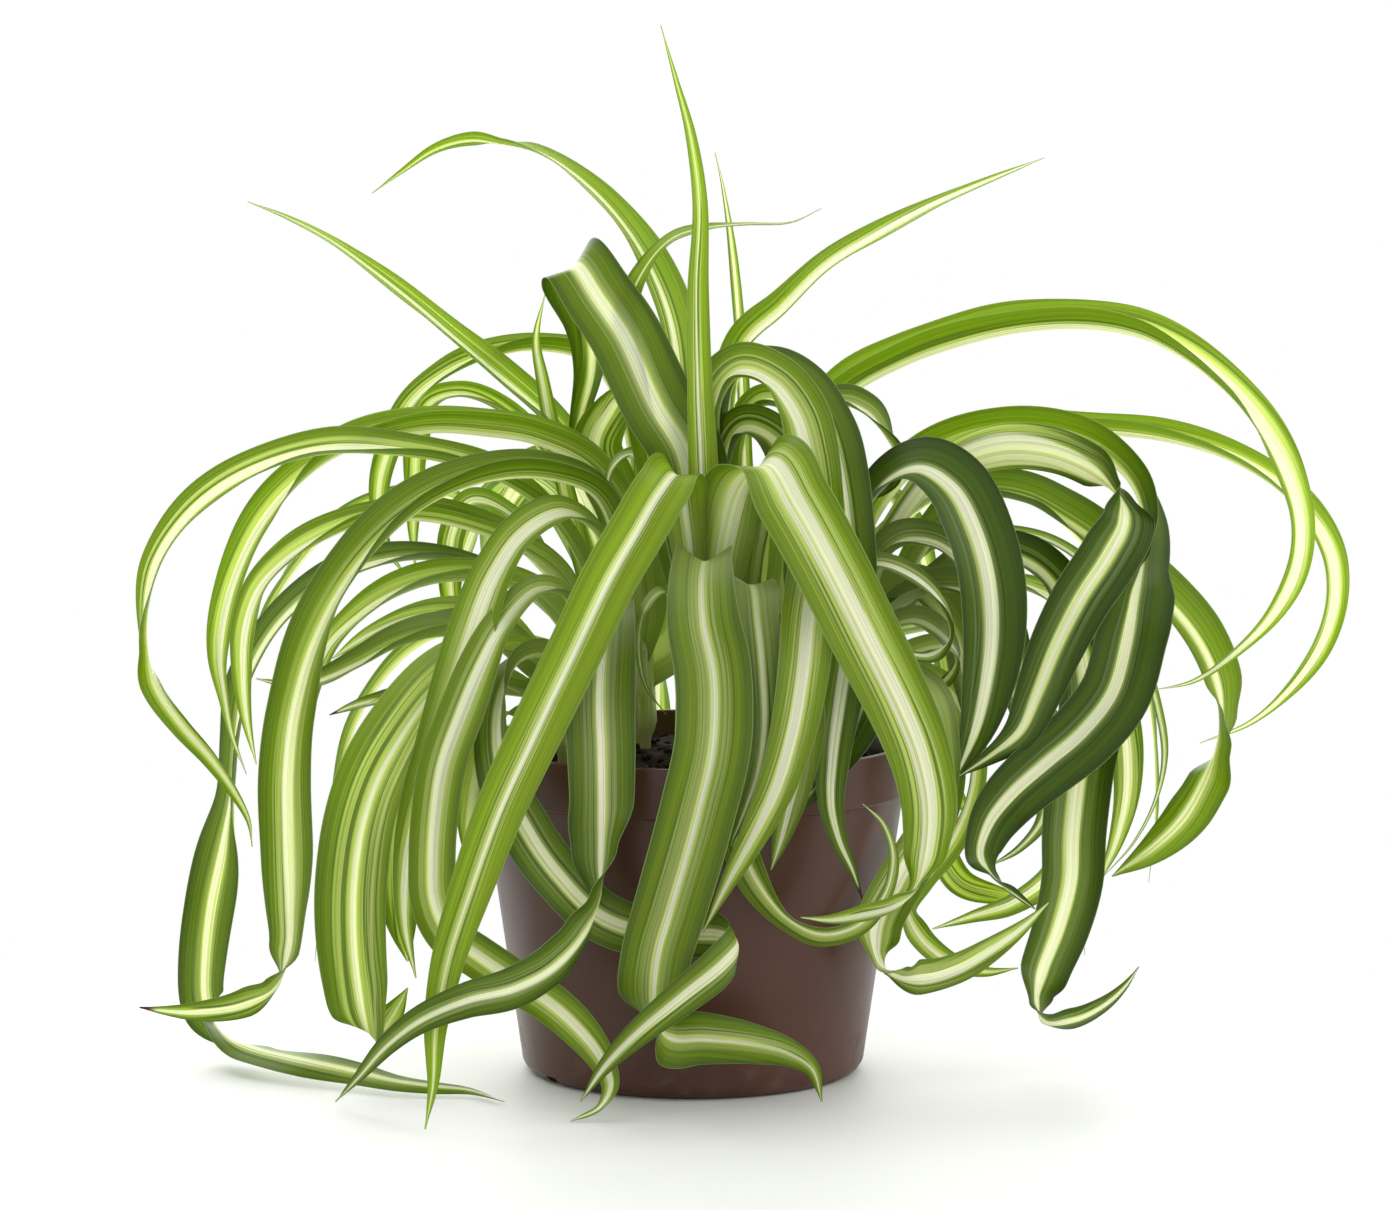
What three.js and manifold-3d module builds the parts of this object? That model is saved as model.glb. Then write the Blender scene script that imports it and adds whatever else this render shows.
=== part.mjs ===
// Potted spider plant: five rosettes of striped leaves in a brown plastic nursery pot.
// Units are mm, +Z is up, the viewer of the photo stands at -Y, and the pot's foot rests on z = 0.
import * as THREE from "three";
import Module from "manifold-3d";

const wasm = await Module();
wasm.setup();

// Pot
const POT_HEIGHT = 100;
const BAND_BOTTOM = 85;          // the thicker band under the rim starts here
const BAND_RADIUS = 65;          // 13 cm across the rim
const WALL_TOP_RADIUS = 63.2;    // outside of the wall just under the band
const WALL_FOOT_RADIUS = 51.6;   // outside of the wall at the top of the rounded foot
const FOOT_ROUNDING = 5;
const RIM_ROUNDING = 0.6;
const BAND_DRAFT = 0.4;          // how much narrower the band is at its lower edge
const WALL = 1.6;
const FLOOR = 2;
const INSIDE_ROUNDING = 4;       // of the corner between floor and wall
const POT_SIDES = 40;
const DRAIN_HOLES = 6;
const DRAIN_HOLE_RADIUS = 4;
const DRAIN_HOLE_SIDES = 10;
const DRAIN_CIRCLE = 28;         // the drain holes lie on a circle of this radius
const SLOT_ANGLES = [-56, 80, 192];  // drain slots in the foot, degrees from the viewer's side
const SLOT_WIDTH = 5;
const SLOT_HEIGHT = 2.6;
const CUT_PAST = 1;              // how far a cut runs past the surface that it goes through
const BAND_STEP = 1;             // the wall changes to the band over this height, each way

// Soil
const SEAT = 0.3;                // air between pieces that touch
const SOIL_TOP = 93;
const SOIL_SWELL = 1.2;          // height of the uneven surface's waves
const SOIL_WAVES = [0.11, 0.13]; // their radians per mm, across and in depth
const SOIL_RIPPLE = [0.23, 0.19];  // and those of smaller slanting waves
const SOIL_SIDES = 30;
const SOIL_RINGS = [50, 37, 24, 12];  // radii of the surface's rings of points

// Rosettes
const CROWN_SINK = 9;            // how deep a crown stands in its hole in the soil
const CROWN_RADIUS = 7.5;        // at the soil
const CROWN_SIDES = 12;
const CROWN_COLLAR = 2.5;        // the crown is straight up to here above the soil, then widens
const CROWN_BELLY = 8;           // its widest place, above the soil
const CROWN_SHARES = { belly: 1.25, shoulder: 1.1, top: 0.6 };  // radii, as shares of the foot's
const CROWN_DOME = 1;            // height of the slope at its top
const ROOT_HEIGHT = 5;           // the lowest leaf starts on its crown's axis, this far above the soil
const ROOT_STEP = 1.5;           // and each further leaf this much higher

// Leaves
const BLADE = 0.7;               // thickness of a blade
const FINE_STEPS = 10;           // points of the fine course between two route points
const STATION_STEP = 35;         // along a straight leaf; a bend brings the cross-sections closer
const BEND_WEIGHT = 17;          // mm of straight leaf that one radian of bend or twist counts for
const MIN_STATIONS = 8;
const BASE_SHARE = 0.5;          // width of a leaf at its base, as a share of its full width
const TIP_WIDTH = 1.2;
const TAPER = 4.5;               // how late a leaf narrows toward its tip; a spike's is lower
const FOLD_BASE = 54;            // degrees that each half of a blade is folded up where it clasps
const FOLD_MIDDLE = 22;
const FOLD_TIP = 12;
const OPENS = [0.05, 0.35];      // where a blade reaches its full width, as shares of its length
const UNFOLDS = [0, 0.35];       // where it opens out from its folded base
const FLATTENS = [0.45, 0.95];   // where it grows flatter toward the tip

// Route points are [across, up, near, facing]. Across and up are read on the upright plane through
// the pot's axis, as seen in the photo. Near is how far the point lies from that plane toward the
// viewer. Facing is the turn of the blade about its route: 0 shows the upper face to the viewer,
// 180 the underside, and it may be left out where the blade only follows its bend.
const EYE = new THREE.Vector3(0, -1550, 320);
const START_FACE = new THREE.Vector3(0, -1, 0.02);

const ROSETTES = {
  front: {
    across: 4, near: 26, height: 64,
    leaves: [
      { name: "spike", width: 11, taper: 2.4, route: [
        [4, 120, 27, 20], [3, 150, 28], [2.5, 180, 28, 20], [1.5, 205, 27], [1, 235, 24],
        [1.8, 260, 22, 30], [-0.8, 280, 19], [-5, 296, 16], [-9.5, 312.5, 14, 30]] },
      { name: "folded_back", width: 25, fold: 24, route: [
        [3, 130, 22, 25], [0, 165, 19], [-3, 186, 18, 15], [-11, 200, 17], [-20, 220, 13, 5],
        [-28, 232, 8], [-34, 241, 2], [-36, 239, -6], [-31, 226, -14], [-30, 211, -20],
        [-34, 195, -24], [-38, 181, -25]] },
      { name: "top_left_arch", width: 23, taper: 2.4, route: [
        [-1, 115, 10, 50], [-3, 160, 5], [-4, 200, 3], [-7, 226, 1, 50], [-15, 245, -1],
        [-26, 260, -2, 60], [-38, 270.5, -4], [-47, 275.5, -5, 80], [-56, 277.5, -5, 95],
        [-66, 278.5, -5, 125], [-76, 276, -6], [-86, 269.5, -7], [-95, 263, -8, 130]] },
      { name: "thin_arch", width: 10, taper: 3.4, route: [
        [-2, 118, 22, 40], [-10, 170, 19], [-17, 205, 14], [-19.5, 228, 10, -20], [-14, 241, 8],
        [-6, 249.5, 8, -60], [3, 252.5, 10], [15, 253.7, 10, -75], [29, 254.3, 10],
        [38, 258.5, 10, -75]] },
      { name: "front_left", width: 18, taper: 4.5, route: [
        [1, 140, 31, 180], [-2, 165, 34, 180], [-5, 179, 38], [-10, 174, 45, 0], [-17, 162, 50],
        [-25, 148, 55, 0], [-36, 125, 62], [-48, 100, 70, 0], [-58, 78, 77], [-67, 53, 82],
        [-74, 31, 85], [-77.5, 12, 88, 10], [-78.5, -6, 92], [-81, -19.5, 96, 10]] },
      { name: "front_right", width: 24, route: [
        [6, 138, 31, 180], [10, 160, 33, 180], [16, 178, 37], [23, 182, 43], [31, 170, 49, 0],
        [42, 150, 56, 0], [52, 130, 62], [62, 110, 66, 0], [68, 95, 68], [71, 80, 70, 0],
        [70.5, 66, 72, 20], [67, 54, 74, 80], [61, 49, 76, 120], [50, 46, 77, 140], [41, 44.7, 77],
        [32.5, 45.5, 76, 140]] },
      { name: "front_middle", width: 24, taper: 5.5, route: [
        [4, 128, 33, 180], [4, 143, 37, 180], [3.5, 153, 43], [2.5, 147, 52, 0], [3, 135, 59],
        [6, 120, 65, 0], [6.5, 108, 70.5], [5.5, 95, 76, 0], [2, 80, 79], [-2, 65, 81, 0],
        [-7, 48, 81.5], [-11, 34, 81, 0], [-12, 22, 80.5], [-11, 12.5, 77.5], [-6, 8.5, 73],
        [3, 8.5, 71, 180], [18, 6.8, 70, 180], [29, 3.8, 68], [36, -1, 66], [39, -11, 63, 180]] },
      { name: "pale_arch_right", width: 21, fold: 36, route: [
        [8, 110, 18, -60], [9, 150, 15], [8, 181, 14], [8, 201, 13, -60], [14, 209, 15],
        [23, 206, 18, -50], [30, 197, 22, -35], [33.5, 186, 28], [36, 170, 37, -10], [36.5, 152, 45],
        [34.5, 136, 54, 0], [33, 120, 62], [30, 102, 70, 0], [25, 85, 76], [18, 70, 79],
        [10.5, 56, 80, 0], [3, 41, 81]] },
      { name: "dark_arch_right", width: 20, route: [
        [9, 110, 6, -70], [11, 150, 0], [10, 188, -1], [13, 208, 0, -75], [22, 211, 2],
        [32, 206.5, 8, -60], [39, 194, 15], [43, 179, 24, -20], [45.5, 162, 33], [47, 145, 41, 0],
        [46.5, 128, 49], [44, 110, 56, 0], [42, 94, 61], [41.5, 80, 63, 0], [44, 69, 63], [48, 60, 63],
        [51, 51, 61, 10]] },
      { name: "small_curl", width: 6, taper: 3, route: [
        [0, 118, 30, 140], [-4, 136, 34, 100], [-9, 144, 38, 70], [-14, 139, 41], [-16, 128, 43, 60],
        [-14, 116, 44], [-8, 107, 44, 60]] },
      { name: "dark_beside_middle", width: 15, route: [
        [10, 118, 34, 180], [13, 138, 39, 180], [17, 146, 46], [19, 134, 54, 0], [20.5, 118, 61],
        [21, 103, 67, 0], [19, 89, 71], [15, 77, 73], [11, 67, 74, 0]] },
      { name: "low_arch_right", width: 19, fold: 36, route: [
        [10, 110, 15, -60], [11, 155, 10], [11, 184, 9, -60], [15, 192, 10], [22, 190, 13, -45],
        [28, 181, 18], [31, 168, 24, -20], [32, 152, 29], [31, 136, 34, 0]] },
      { name: "shaded_hanging", width: 15, route: [
        [11, 108, 26, 180], [19, 120, 34, 180], [26, 127, 43], [31, 118, 52, 0], [33, 105, 59],
        [31.5, 92, 64, 0], [29, 80, 66], [26, 68, 66], [23.5, 60, 65, 0]] },
      { name: "curling_tip", width: 12, route: [
        [7, 112, 35, 180], [10, 128, 42, 180], [13, 132, 49], [14, 122, 55, 0], [13.5, 108, 60.5],
        [13, 94, 65.5, 0], [12.5, 80, 67], [15, 66, 67.5, 20], [21, 54, 68], [29, 45, 68, 60],
        [39, 40.5, 68, 50], [50, 43.5, 67, 50], [57.5, 52.5, 64, 60], [60, 64, 62, 50], [57, 74, 62],
        [51, 80, 64, 40]] },
      { name: "base_left", width: 16, fold: 36, base: 0.7, clasp: 36, route: [
        [1, 112, 14, 60], [-7, 142, 3], [-10, 168, 1, 70], [-14, 182, 0], [-19, 185, -1, 70],
        [-24, 181, -1], [-26, 174, -1, 40]] },
      { name: "base_right", width: 20, fold: 36, base: 0.7, clasp: 36, route: [
        [8, 110, 14, -50], [17, 138, 10], [21, 160, 8, -50], [25, 176, 7], [30, 181, 7, -60],
        [35, 177, 7], [37, 167, 8, -30]] },
      { name: "over_rim", width: 17, route: [
        [11, 108, 18, -70], [22, 128, 30], [36, 135, 38, -45], [48, 130, 43], [53, 118, 47, 0],
        [50, 106, 51], [44, 95, 55, 0], [37, 85, 58.5], [29, 76, 61]] },
    ],
  },
  left: {
    across: -33, near: 8, height: 38,
    leaves: [
      { name: "front_hanging", width: 26, taper: 1.8, base: 0.4, route: [
        [-30, 108, 20, 180], [-27, 128, 31, 180], [-26, 138, 42], [-27, 128, 52, 0], [-28, 112, 60],
        [-27.5, 96, 68, 0], [-27.3, 82, 72, 0], [-27.3, 66, 75, 40], [-28.2, 51, 78, 88],
        [-33, 40, 81, 125], [-42, 30, 85, 148], [-54, 23.5, 91, 165], [-68, 20, 98, 170],
        [-81, 14.5, 97], [-92, 6.5, 88, 165], [-101, -3.5, 76], [-108, -11, 62, 160]] },
      { name: "loop_before_pot", width: 17, route: [
        [-36, 106, 22, 160], [-44, 124, 32], [-53, 122, 42, 90], [-58, 106, 49, 50], [-56, 87, 55, 30],
        [-49, 71, 61, 10], [-40, 58, 65], [-28, 46, 67, 0], [-14, 41, 67], [0, 40.5, 68.5, 0],
        [9, 40, 72], [13.5, 37, 79], [9, 31, 87], [-2, 22, 91, 180], [-16, 10.5, 91],
        [-26, 0.5, 86, 180], [-34, -11, 76, 180]] },
      { name: "wide_arch", width: 20, fold: 48, taper: 7, route: [
        [-30, 108, 2, 90], [-26, 135, 2], [-24, 158, 6, 95], [-30, 173, 10], [-44, 178, 14, 80],
        [-60, 177.5, 17], [-76, 172, 20, 65], [-90, 162, 22], [-103, 147, 24, 40], [-113, 128, 25],
        [-119, 108, 26, 15], [-121.5, 88, 27], [-121.5, 68, 28, 10], [-121, 50, 29],
        [-121.5, 36, 30, 50], [-126, 24, 31, 110], [-136, 18.5, 32, 150], [-150, 16.5, 33, 160],
        [-160, 17, 33], [-167, 18, 33, 160]] },
      { name: "long_arch", width: 19, fold: 55, route: [
        [-34, 108, -4, 90], [-27, 140, -8], [-22, 165, -10, 90], [-32, 181, -11],
        [-47, 188.5, -12, 85], [-62, 191, -14], [-76, 192, -17, 80], [-91, 190, -21],
        [-105, 185.5, -24, 70], [-118, 176.5, -25], [-128, 165, -24, 45], [-135.5, 151, -22],
        [-140, 137, -20, 40], [-141.5, 124, -18], [-140, 112, -16, 60], [-138, 101, -14],
        [-134, 89, -12, 60]] },
      { name: "outer_arch", width: 16, fold: 40, route: [
        [-34, 112, 0, 90], [-30, 140, -2], [-40, 163, -5, 85], [-55, 176, -7], [-72, 182.5, -9, 70],
        [-90, 185.5, -10], [-108, 186, -11, 55], [-124, 182.5, -11], [-139, 175.5, -11, 45],
        [-151, 165.5, -11], [-159.5, 153, -11, 55], [-163, 140, -11], [-163.5, 128, -11, 95],
        [-161, 115.5, -10, 130], [-153.5, 104, -9], [-145, 94, -8, 145], [-138, 84, -7],
        [-133.5, 75, -7], [-132.5, 67, -6, 140]] },
      { name: "pale_arch", width: 16, fold: 50, route: [
        [-36, 108, 0, 90], [-34, 130, 0], [-40, 147, 1, 85], [-52, 156.5, 2], [-66, 162.5, 3, 75],
        [-80, 165.5, 3], [-95, 165, 3, 70], [-108, 161, 3], [-120, 154, 2, 55], [-129, 145, 1],
        [-133.5, 133, 1, 40], [-134.5, 118, 0], [-133.5, 105, 0], [-131, 92, 0, 40]] },
      { name: "grey_hanging", width: 17, route: [
        [-30, 108, 12, 110], [-27, 138, 14], [-28, 160, 19, 95], [-38, 167, 25], [-50, 161, 31, 50],
        [-59, 148, 35], [-65, 133, 38, 25], [-71, 115, 41], [-77, 96, 43, 10], [-82.5, 78, 44],
        [-86, 60, 45, 10], [-86.5, 43, 46], [-83.5, 27, 47, 20]] },
      { name: "front_loop", width: 15, taper: 9, route: [
        [-36, 108, 14, 110], [-37, 126, 22], [-38, 142, 30, 95], [-46, 144, 37], [-56, 134, 43, 50],
        [-63, 121, 47], [-69, 107, 50, 15], [-74.5, 92, 52], [-77, 77, 54, 10], [-78, 63, 56],
        [-77.5, 51, 58, 10], [-73, 41, 60, 30], [-64, 34, 62], [-54, 27, 64, 20], [-44, 20.5, 67],
        [-35, 12.5, 70, 15], [-27.5, 3, 73], [-24.5, -6, 76, 40], [-28, -13, 78, 60],
        [-37, -17, 80, 40]] },
      { name: "broad_hanging", width: 23, taper: 8, route: [
        [-38, 106, 8, 120], [-44, 120, 12], [-55, 127, 18, 85], [-67, 123, 24], [-78, 114, 28, 40],
        [-87, 102, 31], [-95, 88, 34, 15], [-100, 73, 36], [-102.5, 57, 38, 5], [-103, 41, 40],
        [-102, 27, 42, 0], [-100, 16, 42.5], [-97.5, 10, 38], [-94, 11.5, 31, 180], [-90, 17, 26],
        [-86, 24, 23, 180]] },
      { name: "shaded_left", width: 15, route: [
        [-42, 101, 14, 110], [-49, 106, 21], [-57, 107, 29, 70], [-62, 99, 33], [-65, 87, 36, 10],
        [-67, 74, 38], [-68, 62, 39, 10]] },
      { name: "low_left", width: 16, fold: 45, route: [
        [-40, 104, 2, 90], [-48, 118, 2], [-60, 128, 3, 85], [-74, 131, 4], [-88, 128, 5, 60],
        [-100, 122, 6], [-112, 117, 7, 60], [-122, 116, 8], [-131, 118, 9, 60]] },
      { name: "low_middle", width: 14, fold: 45, route: [
        [-37, 105, -5, 90], [-46, 122, -6], [-58, 134, -6, 80], [-70, 137, -6], [-84, 136, -6, 60],
        [-97, 131, -6], [-108, 124, -6, 50]] },
      { name: "low_front", width: 13, fold: 45, route: [
        [-38, 104, 4, 100], [-47, 112, 1], [-59, 117, -1, 80], [-72, 117, -2], [-86, 114, -3, 60],
        [-98, 110, -4]] },
      { name: "pale_hanging", width: 17, taper: 8, route: [
        [-39, 106, 14, 100], [-48, 114, 14], [-60, 116, 14, 80], [-72, 109, 15, 50], [-80, 96, 17],
        [-85, 82, 20, 20], [-88, 66, 23], [-88, 48, 25, 10], [-86, 32, 27]] },
    ],
  },
  right: {
    across: 37, near: 3, height: 38,
    leaves: [
      { name: "dark_arch", width: 22, taper: 8, route: [
        [38, 108, 6, -90], [42, 138, 6], [49, 163, 8, -80], [58, 177, 10], [68, 181, 14, -50],
        [78, 175, 20], [85, 162, 25, -15], [89, 147, 28], [90, 132, 30, -5], [88.5, 117, 31],
        [85, 102, 31, 0], [79, 88, 30]] },
      { name: "inner_arch", width: 24, fold: 32, taper: 9, route: [
        [40, 108, -6, -90], [46, 138, -10], [54, 164, -12, -100], [66, 180, -13], [80, 188, -14, -108],
        [95, 191, -13], [109, 189.5, -12, -106], [121, 185, -10], [130, 177, -7, -96],
        [134.5, 166, -3], [134, 154, 1, -72], [132, 141, 5, -32], [130, 127, 9, -5], [126, 113, 12],
        [117, 101, 15, 0], [106, 91.5, 18], [96, 82.5, 20, 0], [89, 73.5, 21], [86.5, 64.5, 22, -30],
        [90, 58, 23, -80], [97, 52.5, 24, -120], [103, 48, 24, -140]] },
      { name: "pale_arch", width: 20, taper: 8, route: [
        [43, 108, 0, -90], [52, 138, 0], [62, 163, 0, -100], [76, 179, 0], [91, 185, 0, -137],
        [105, 184.5, 1], [117, 180, 3, -135], [126.5, 173, 6, -90], [128.5, 165, 11, -32],
        [124.5, 155.5, 15, -5], [116, 142, 17], [109, 128, 18, 0], [103, 113, 19], [98, 102, 19, -15],
        [90, 95.5, 19, -40], [79, 88, 18, -50]] },
      { name: "long_hanging", width: 20, fold: 36, taper: 11, route: [
        [46, 108, -4, -90], [58, 135, -8], [72, 160, -12, -80], [86, 172.5, -14],
        [99, 171.5, -15, -60], [110, 165.5, -16], [121, 158, -16, -45], [132, 149.5, -16],
        [142, 140, -15, -45], [150.5, 129.5, -14], [156, 118, -13, -50], [158, 107, -12, -75],
        [157, 97, -11, -100], [153, 86, -10, -145], [147, 75.5, -9, -160], [138, 66.5, -8],
        [126, 58, -7, -150]] },
      { name: "striped_low", width: 22, taper: 6, route: [
        [45, 106, 6, -90], [58, 128, 2], [72, 146, -1, -80], [88, 155, -3], [102, 151, -4, -60],
        [112, 138, -5], [117.5, 120, -5, -20], [118, 103, -4], [116, 87, 0, 0], [114.5, 71, 4],
        [114, 56, 8, 0], [110.5, 42, 11], [106, 30, 12, -10], [103.5, 20, 13, -60],
        [106, 13.5, 14, -110], [115, 14, 14, -130], [124, 18.5, 14], [130, 24, 14, -130],
        [134.5, 30.5, 14]] },
      { name: "shaded_right", width: 18, route: [
        [42, 106, 12, -90], [50, 112, 24], [60, 118, 30, -70], [69, 112, 33], [73, 99, 34, -10],
        [75, 86, 34], [72, 74, 33, 0]] },
      { name: "rolled_tip", width: 12, route: [
        [33, 106, 16, -90], [36, 130, 24], [43, 146, 29, -90], [54, 152, 32], [66, 148, 34, -60],
        [75, 139, 35], [77, 130, 36, -90], [71, 125, 38, -140], [63, 126, 40], [57, 129, 41, -140]] },
      { name: "shaded_arch", width: 17, fold: 36, route: [
        [42, 104, 10, -90], [52, 124, 12], [62, 139, 12, -75], [74, 144.5, 12], [86, 142, 11, -55],
        [94, 134, 11], [98, 122, 11, -40], [99, 109, 10]] },
      { name: "hooked_back", width: 23, fold: 36, route: [
        [33, 108, -6, -90], [34, 150, -8], [36, 188, -9, -90], [43, 200, -9], [51, 198, -8, -70],
        [58, 190, -6], [61, 183, -4, -100], [57, 176, -2, -140], [50, 171, 0, -150]] },
      { name: "fan_upper", width: 18, fold: 36, route: [
        [37, 108, 9, -90], [46, 128, 15], [54, 148, 17, -80], [62, 158, 18], [72, 158, 18, -60],
        [81, 151, 18], [88, 139, 17, -30], [92, 125, 16]] },
      { name: "fan_curl", width: 15, route: [
        [38, 104, 11, -90], [45, 116, 20], [55, 130, 27, -80], [66, 135, 29], [74, 131, 29, -60],
        [79, 124, 27, -90], [75, 117, 26, -130], [68, 115, 25]] },
      { name: "under_arch", width: 14, route: [
        [42, 105, -8, -90], [58, 122, -14], [77, 127, -18, -70], [94, 115, -18], [104, 95, -16, -20],
        [105, 77, -13], [98, 67, -10, -60], [89, 61, -8]] },
      { name: "inner_upright", width: 20, fold: 36, base: 0.7, clasp: 36, route: [
        [39, 108, -1, -60], [47, 128, 1], [57, 141, 3, -60], [67, 143, 5], [76, 134, 7, -40],
        [82, 118, 8], [84, 100, 8, -20]] },
    ],
  },
  back_left: {
    across: -20, near: -32, height: 38,
    leaves: [
      { name: "straight_left", width: 19, fold: 34, taper: 3, route: [
        [-22, 112, -30, 70], [-24, 145, -34], [-30, 175, -37, 70], [-43, 194, -38],
        [-58, 208, -38, 62], [-70, 218.5, -38], [-82, 229, -38, 62], [-95, 239.5, -38],
        [-108, 249, -38, 65], [-120, 255.5, -38], [-132, 260.5, -38, 65]] },
      { name: "ground_leaf", width: 18, taper: 5, route: [
        [-27, 110, -33, 90], [-42, 136, -33], [-60, 149, -34, 85], [-82, 154, -35],
        [-104, 149, -36, 60], [-122, 136, -36], [-133, 118, -34, 65], [-136.5, 100, -32],
        [-138, 84, -29, 75], [-141, 67, -26], [-145, 50, -22, 8], [-147, 34, -18], [-147, 20, -12, 22],
        [-143, 11, -3, 88], [-133, 5.5, 14, 125], [-118, 1.8, 27], [-103, -1.5, 36, 140],
        [-90, -4.6, 44], [-78, -6.3, 46, 130], [-68, -7.4, 47], [-57, -11, 58, 120]] },
      { name: "far_arch", width: 15, fold: 50, route: [
        [-20, 113, -36, 90], [-20, 150, -41], [-20, 190, -45, 85], [-30, 212, -47],
        [-46, 216.5, -48, 80], [-60, 214.5, -49], [-73, 209, -49, 60], [-83, 201, -49],
        [-89, 190, -48, 30], [-93, 178, -47], [-93.5, 167, -46, 15], [-91, 157, -45],
        [-86, 149, -44, 15]] },
      { name: "far_hanging", width: 13, fold: 40, route: [
        [-24, 113, -40, 90], [-32, 150, -46], [-44, 184, -50, 85], [-57, 198, -52],
        [-69, 203, -53, 60], [-78.5, 200, -53], [-82, 189, -52, 20], [-83, 176, -51],
        [-83.5, 163, -50, 15], [-83, 151, -49]] },
      { name: "small_spike", width: 9, taper: 3.4, route: [
        [-24, 113, -31, 40], [-33, 150, -31], [-41, 185, -31, 40], [-45, 207, -32],
        [-46.8, 220, -33, 30], [-44, 233, -34]] },
      { name: "inner_arch", width: 16, fold: 50, route: [
        [-28, 110, -24, 90], [-36, 128, -22], [-48, 142, -20, 80], [-62, 147, -19],
        [-76, 147, -18, 65], [-89, 143, -17], [-100, 136, -16, 50], [-109, 127, -15], [-114, 114, -14],
        [-115, 100, -13, 30]] },
      { name: "low_dry", width: 14, fold: 45, route: [
        [-30, 107, -28, 90], [-44, 112, -26], [-60, 113.5, -24, 70], [-75, 113, -22],
        [-89, 112, -20, 60], [-100, 110, -18], [-109, 107, -17, 50]] },
      { name: "upright_inner", width: 18, taper: 9, route: [
        [-15, 112, -26, 20], [-16, 140, -26], [-22, 168, -24, 20], [-29, 188, -23],
        [-24, 199, -22, 10], [-17, 208, -22]] },
      { name: "dark_hanging", width: 11, route: [
        [-26, 112, -38, 90], [-40, 145, -41], [-55, 167, -43, 70], [-66, 171, -45],
        [-71.5, 162, -45, 20], [-72.5, 148, -45], [-71, 133, -45, 10], [-68, 119, -44]] },
      { name: "back_fan_left", width: 17, route: [
        [-26, 112, -44, 90], [-45, 150, -62], [-72, 172, -84, 90], [-100, 168, -104],
        [-122, 146, -118, 90], [-134, 114, -126], [-138, 80, -130, 90], [-137, 55, -132]] },
      { name: "back_fan_middle_left", width: 18, route: [
        [-21, 113, -46], [-27, 155, -72, 10], [-38, 180, -104], [-52, 176, -134, 10], [-62, 152, -152],
        [-69, 118, -160, 170], [-73, 82, -162], [-74, 60, -163, 175]] },
      { name: "back_low_left", width: 16, route: [
        [-30, 109, -42, 90], [-52, 128, -62], [-78, 130, -80, 90], [-98, 110, -92],
        [-108, 80, -98, 90], [-112, 50, -100], [-114, 32, -100, 90]] },
      { name: "centre_back", width: 23, fold: 20, base: 0.8, clasp: 20, route: [
        [-15, 112, -38, 0], [-5, 132, -42], [-5, 165, -50, 0], [-6, 187, -64], [-10, 192, -84, 5],
        [-15, 176, -102], [-18, 148, -112, 170]] },
      { name: "back_upper_left", width: 17, route: [
        [-24, 112, -42, 60], [-33, 148, -56], [-44, 172, -74, 60], [-56, 176, -94],
        [-66, 160, -110, 60], [-72, 134, -120], [-75, 106, -125, 90]] },
    ],
  },
  back_right: {
    across: 22, near: -34, height: 38,
    leaves: [
      { name: "back_spike", width: 9, taper: 3, route: [
        [20, 113, -38, 60], [17, 150, -38], [14.5, 190, -36, 60], [13.5, 218, -33],
        [12.3, 236, -31, 50], [10.5, 253, -29], [8.3, 267, -28, 50], [6.5, 275, -27]] },
      { name: "straight_right", width: 19, fold: 34, taper: 3, route: [
        [18, 113, -27, -60], [12, 150, -23], [11, 190, -21, -60], [16, 217, -19], [27, 228, -18, -58],
        [40, 241, -17], [55, 250.5, -17, -58], [70, 258.8, -18], [85, 265.5, -19, -60],
        [104, 273.5, -20]] },
      { name: "big_arch", width: 23, fold: 54, taper: 3, route: [
        [26, 113, -34, -80], [28, 150, -33], [34, 184, -32, -80], [46, 202, -32],
        [62, 211.5, -32, -78], [80, 218, -31], [98, 222, -30, -78], [116, 223, -28],
        [132, 220.5, -26, -75], [146, 214, -23], [159, 204, -20, -60], [169, 192.5, -17],
        [176.5, 179, -14, -45], [180.5, 165, -11], [179.5, 151, -8, -45], [173, 137.5, -5],
        [162, 126, -3, -55], [150, 117.5, -2], [138, 114.5, -2, -60]] },
      { name: "second_arch", width: 16, fold: 50, route: [
        [30, 112, -36, -85], [42, 145, -40], [58, 172, -44, -80], [78, 187, -46],
        [98, 191.5, -46, -78], [120, 191.5, -45], [140, 189.5, -43, -75], [158, 184.5, -40],
        [172, 177, -37, -60], [183, 167, -34], [190, 155, -31, -45], [191.3, 142, -28],
        [187.5, 128, -27, -45], [179, 115.5, -26], [167, 105, -26, -60], [152, 98.5, -26]] },
      { name: "thin_hanging", width: 8, route: [
        [32, 111, -30, -85], [52, 140, -30], [78, 160, -30, -80], [104, 160, -29],
        [123, 146, -28, -60], [133, 127, -27], [138.5, 110, -26, -65], [141, 95, -25],
        [138.5, 81, -24, -70], [132, 68, -23], [123, 57.5, -22]] },
      { name: "middle_arch", width: 15, fold: 50, route: [
        [20, 113, -31, -60], [18, 155, -29], [15, 188, -28, -75], [21, 200, -27], [30, 197, -26, -60],
        [37, 187, -25], [42, 173, -24, -30], [44, 158, -23], [44, 142, -22, -10]] },
      { name: "bright_hanging", width: 12, route: [
        [28, 110, -42, -90], [44, 135, -48], [60, 145, -50, -70], [71, 136, -50], [76, 118, -49, -30],
        [76.5, 100, -48], [78, 86, -47, -40], [84, 76, -46], [92, 74, -45]] },
      { name: "low_fold", width: 16, taper: 6, route: [
        [31, 108, -26, -90], [52, 119, -20], [69, 112, -8, -60], [74, 94, 6], [71, 75, 20, -30],
        [62, 57, 33], [55.5, 43, 42, -10], [55.5, 33, 44, -60], [61, 27.5, 42, -110],
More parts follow.
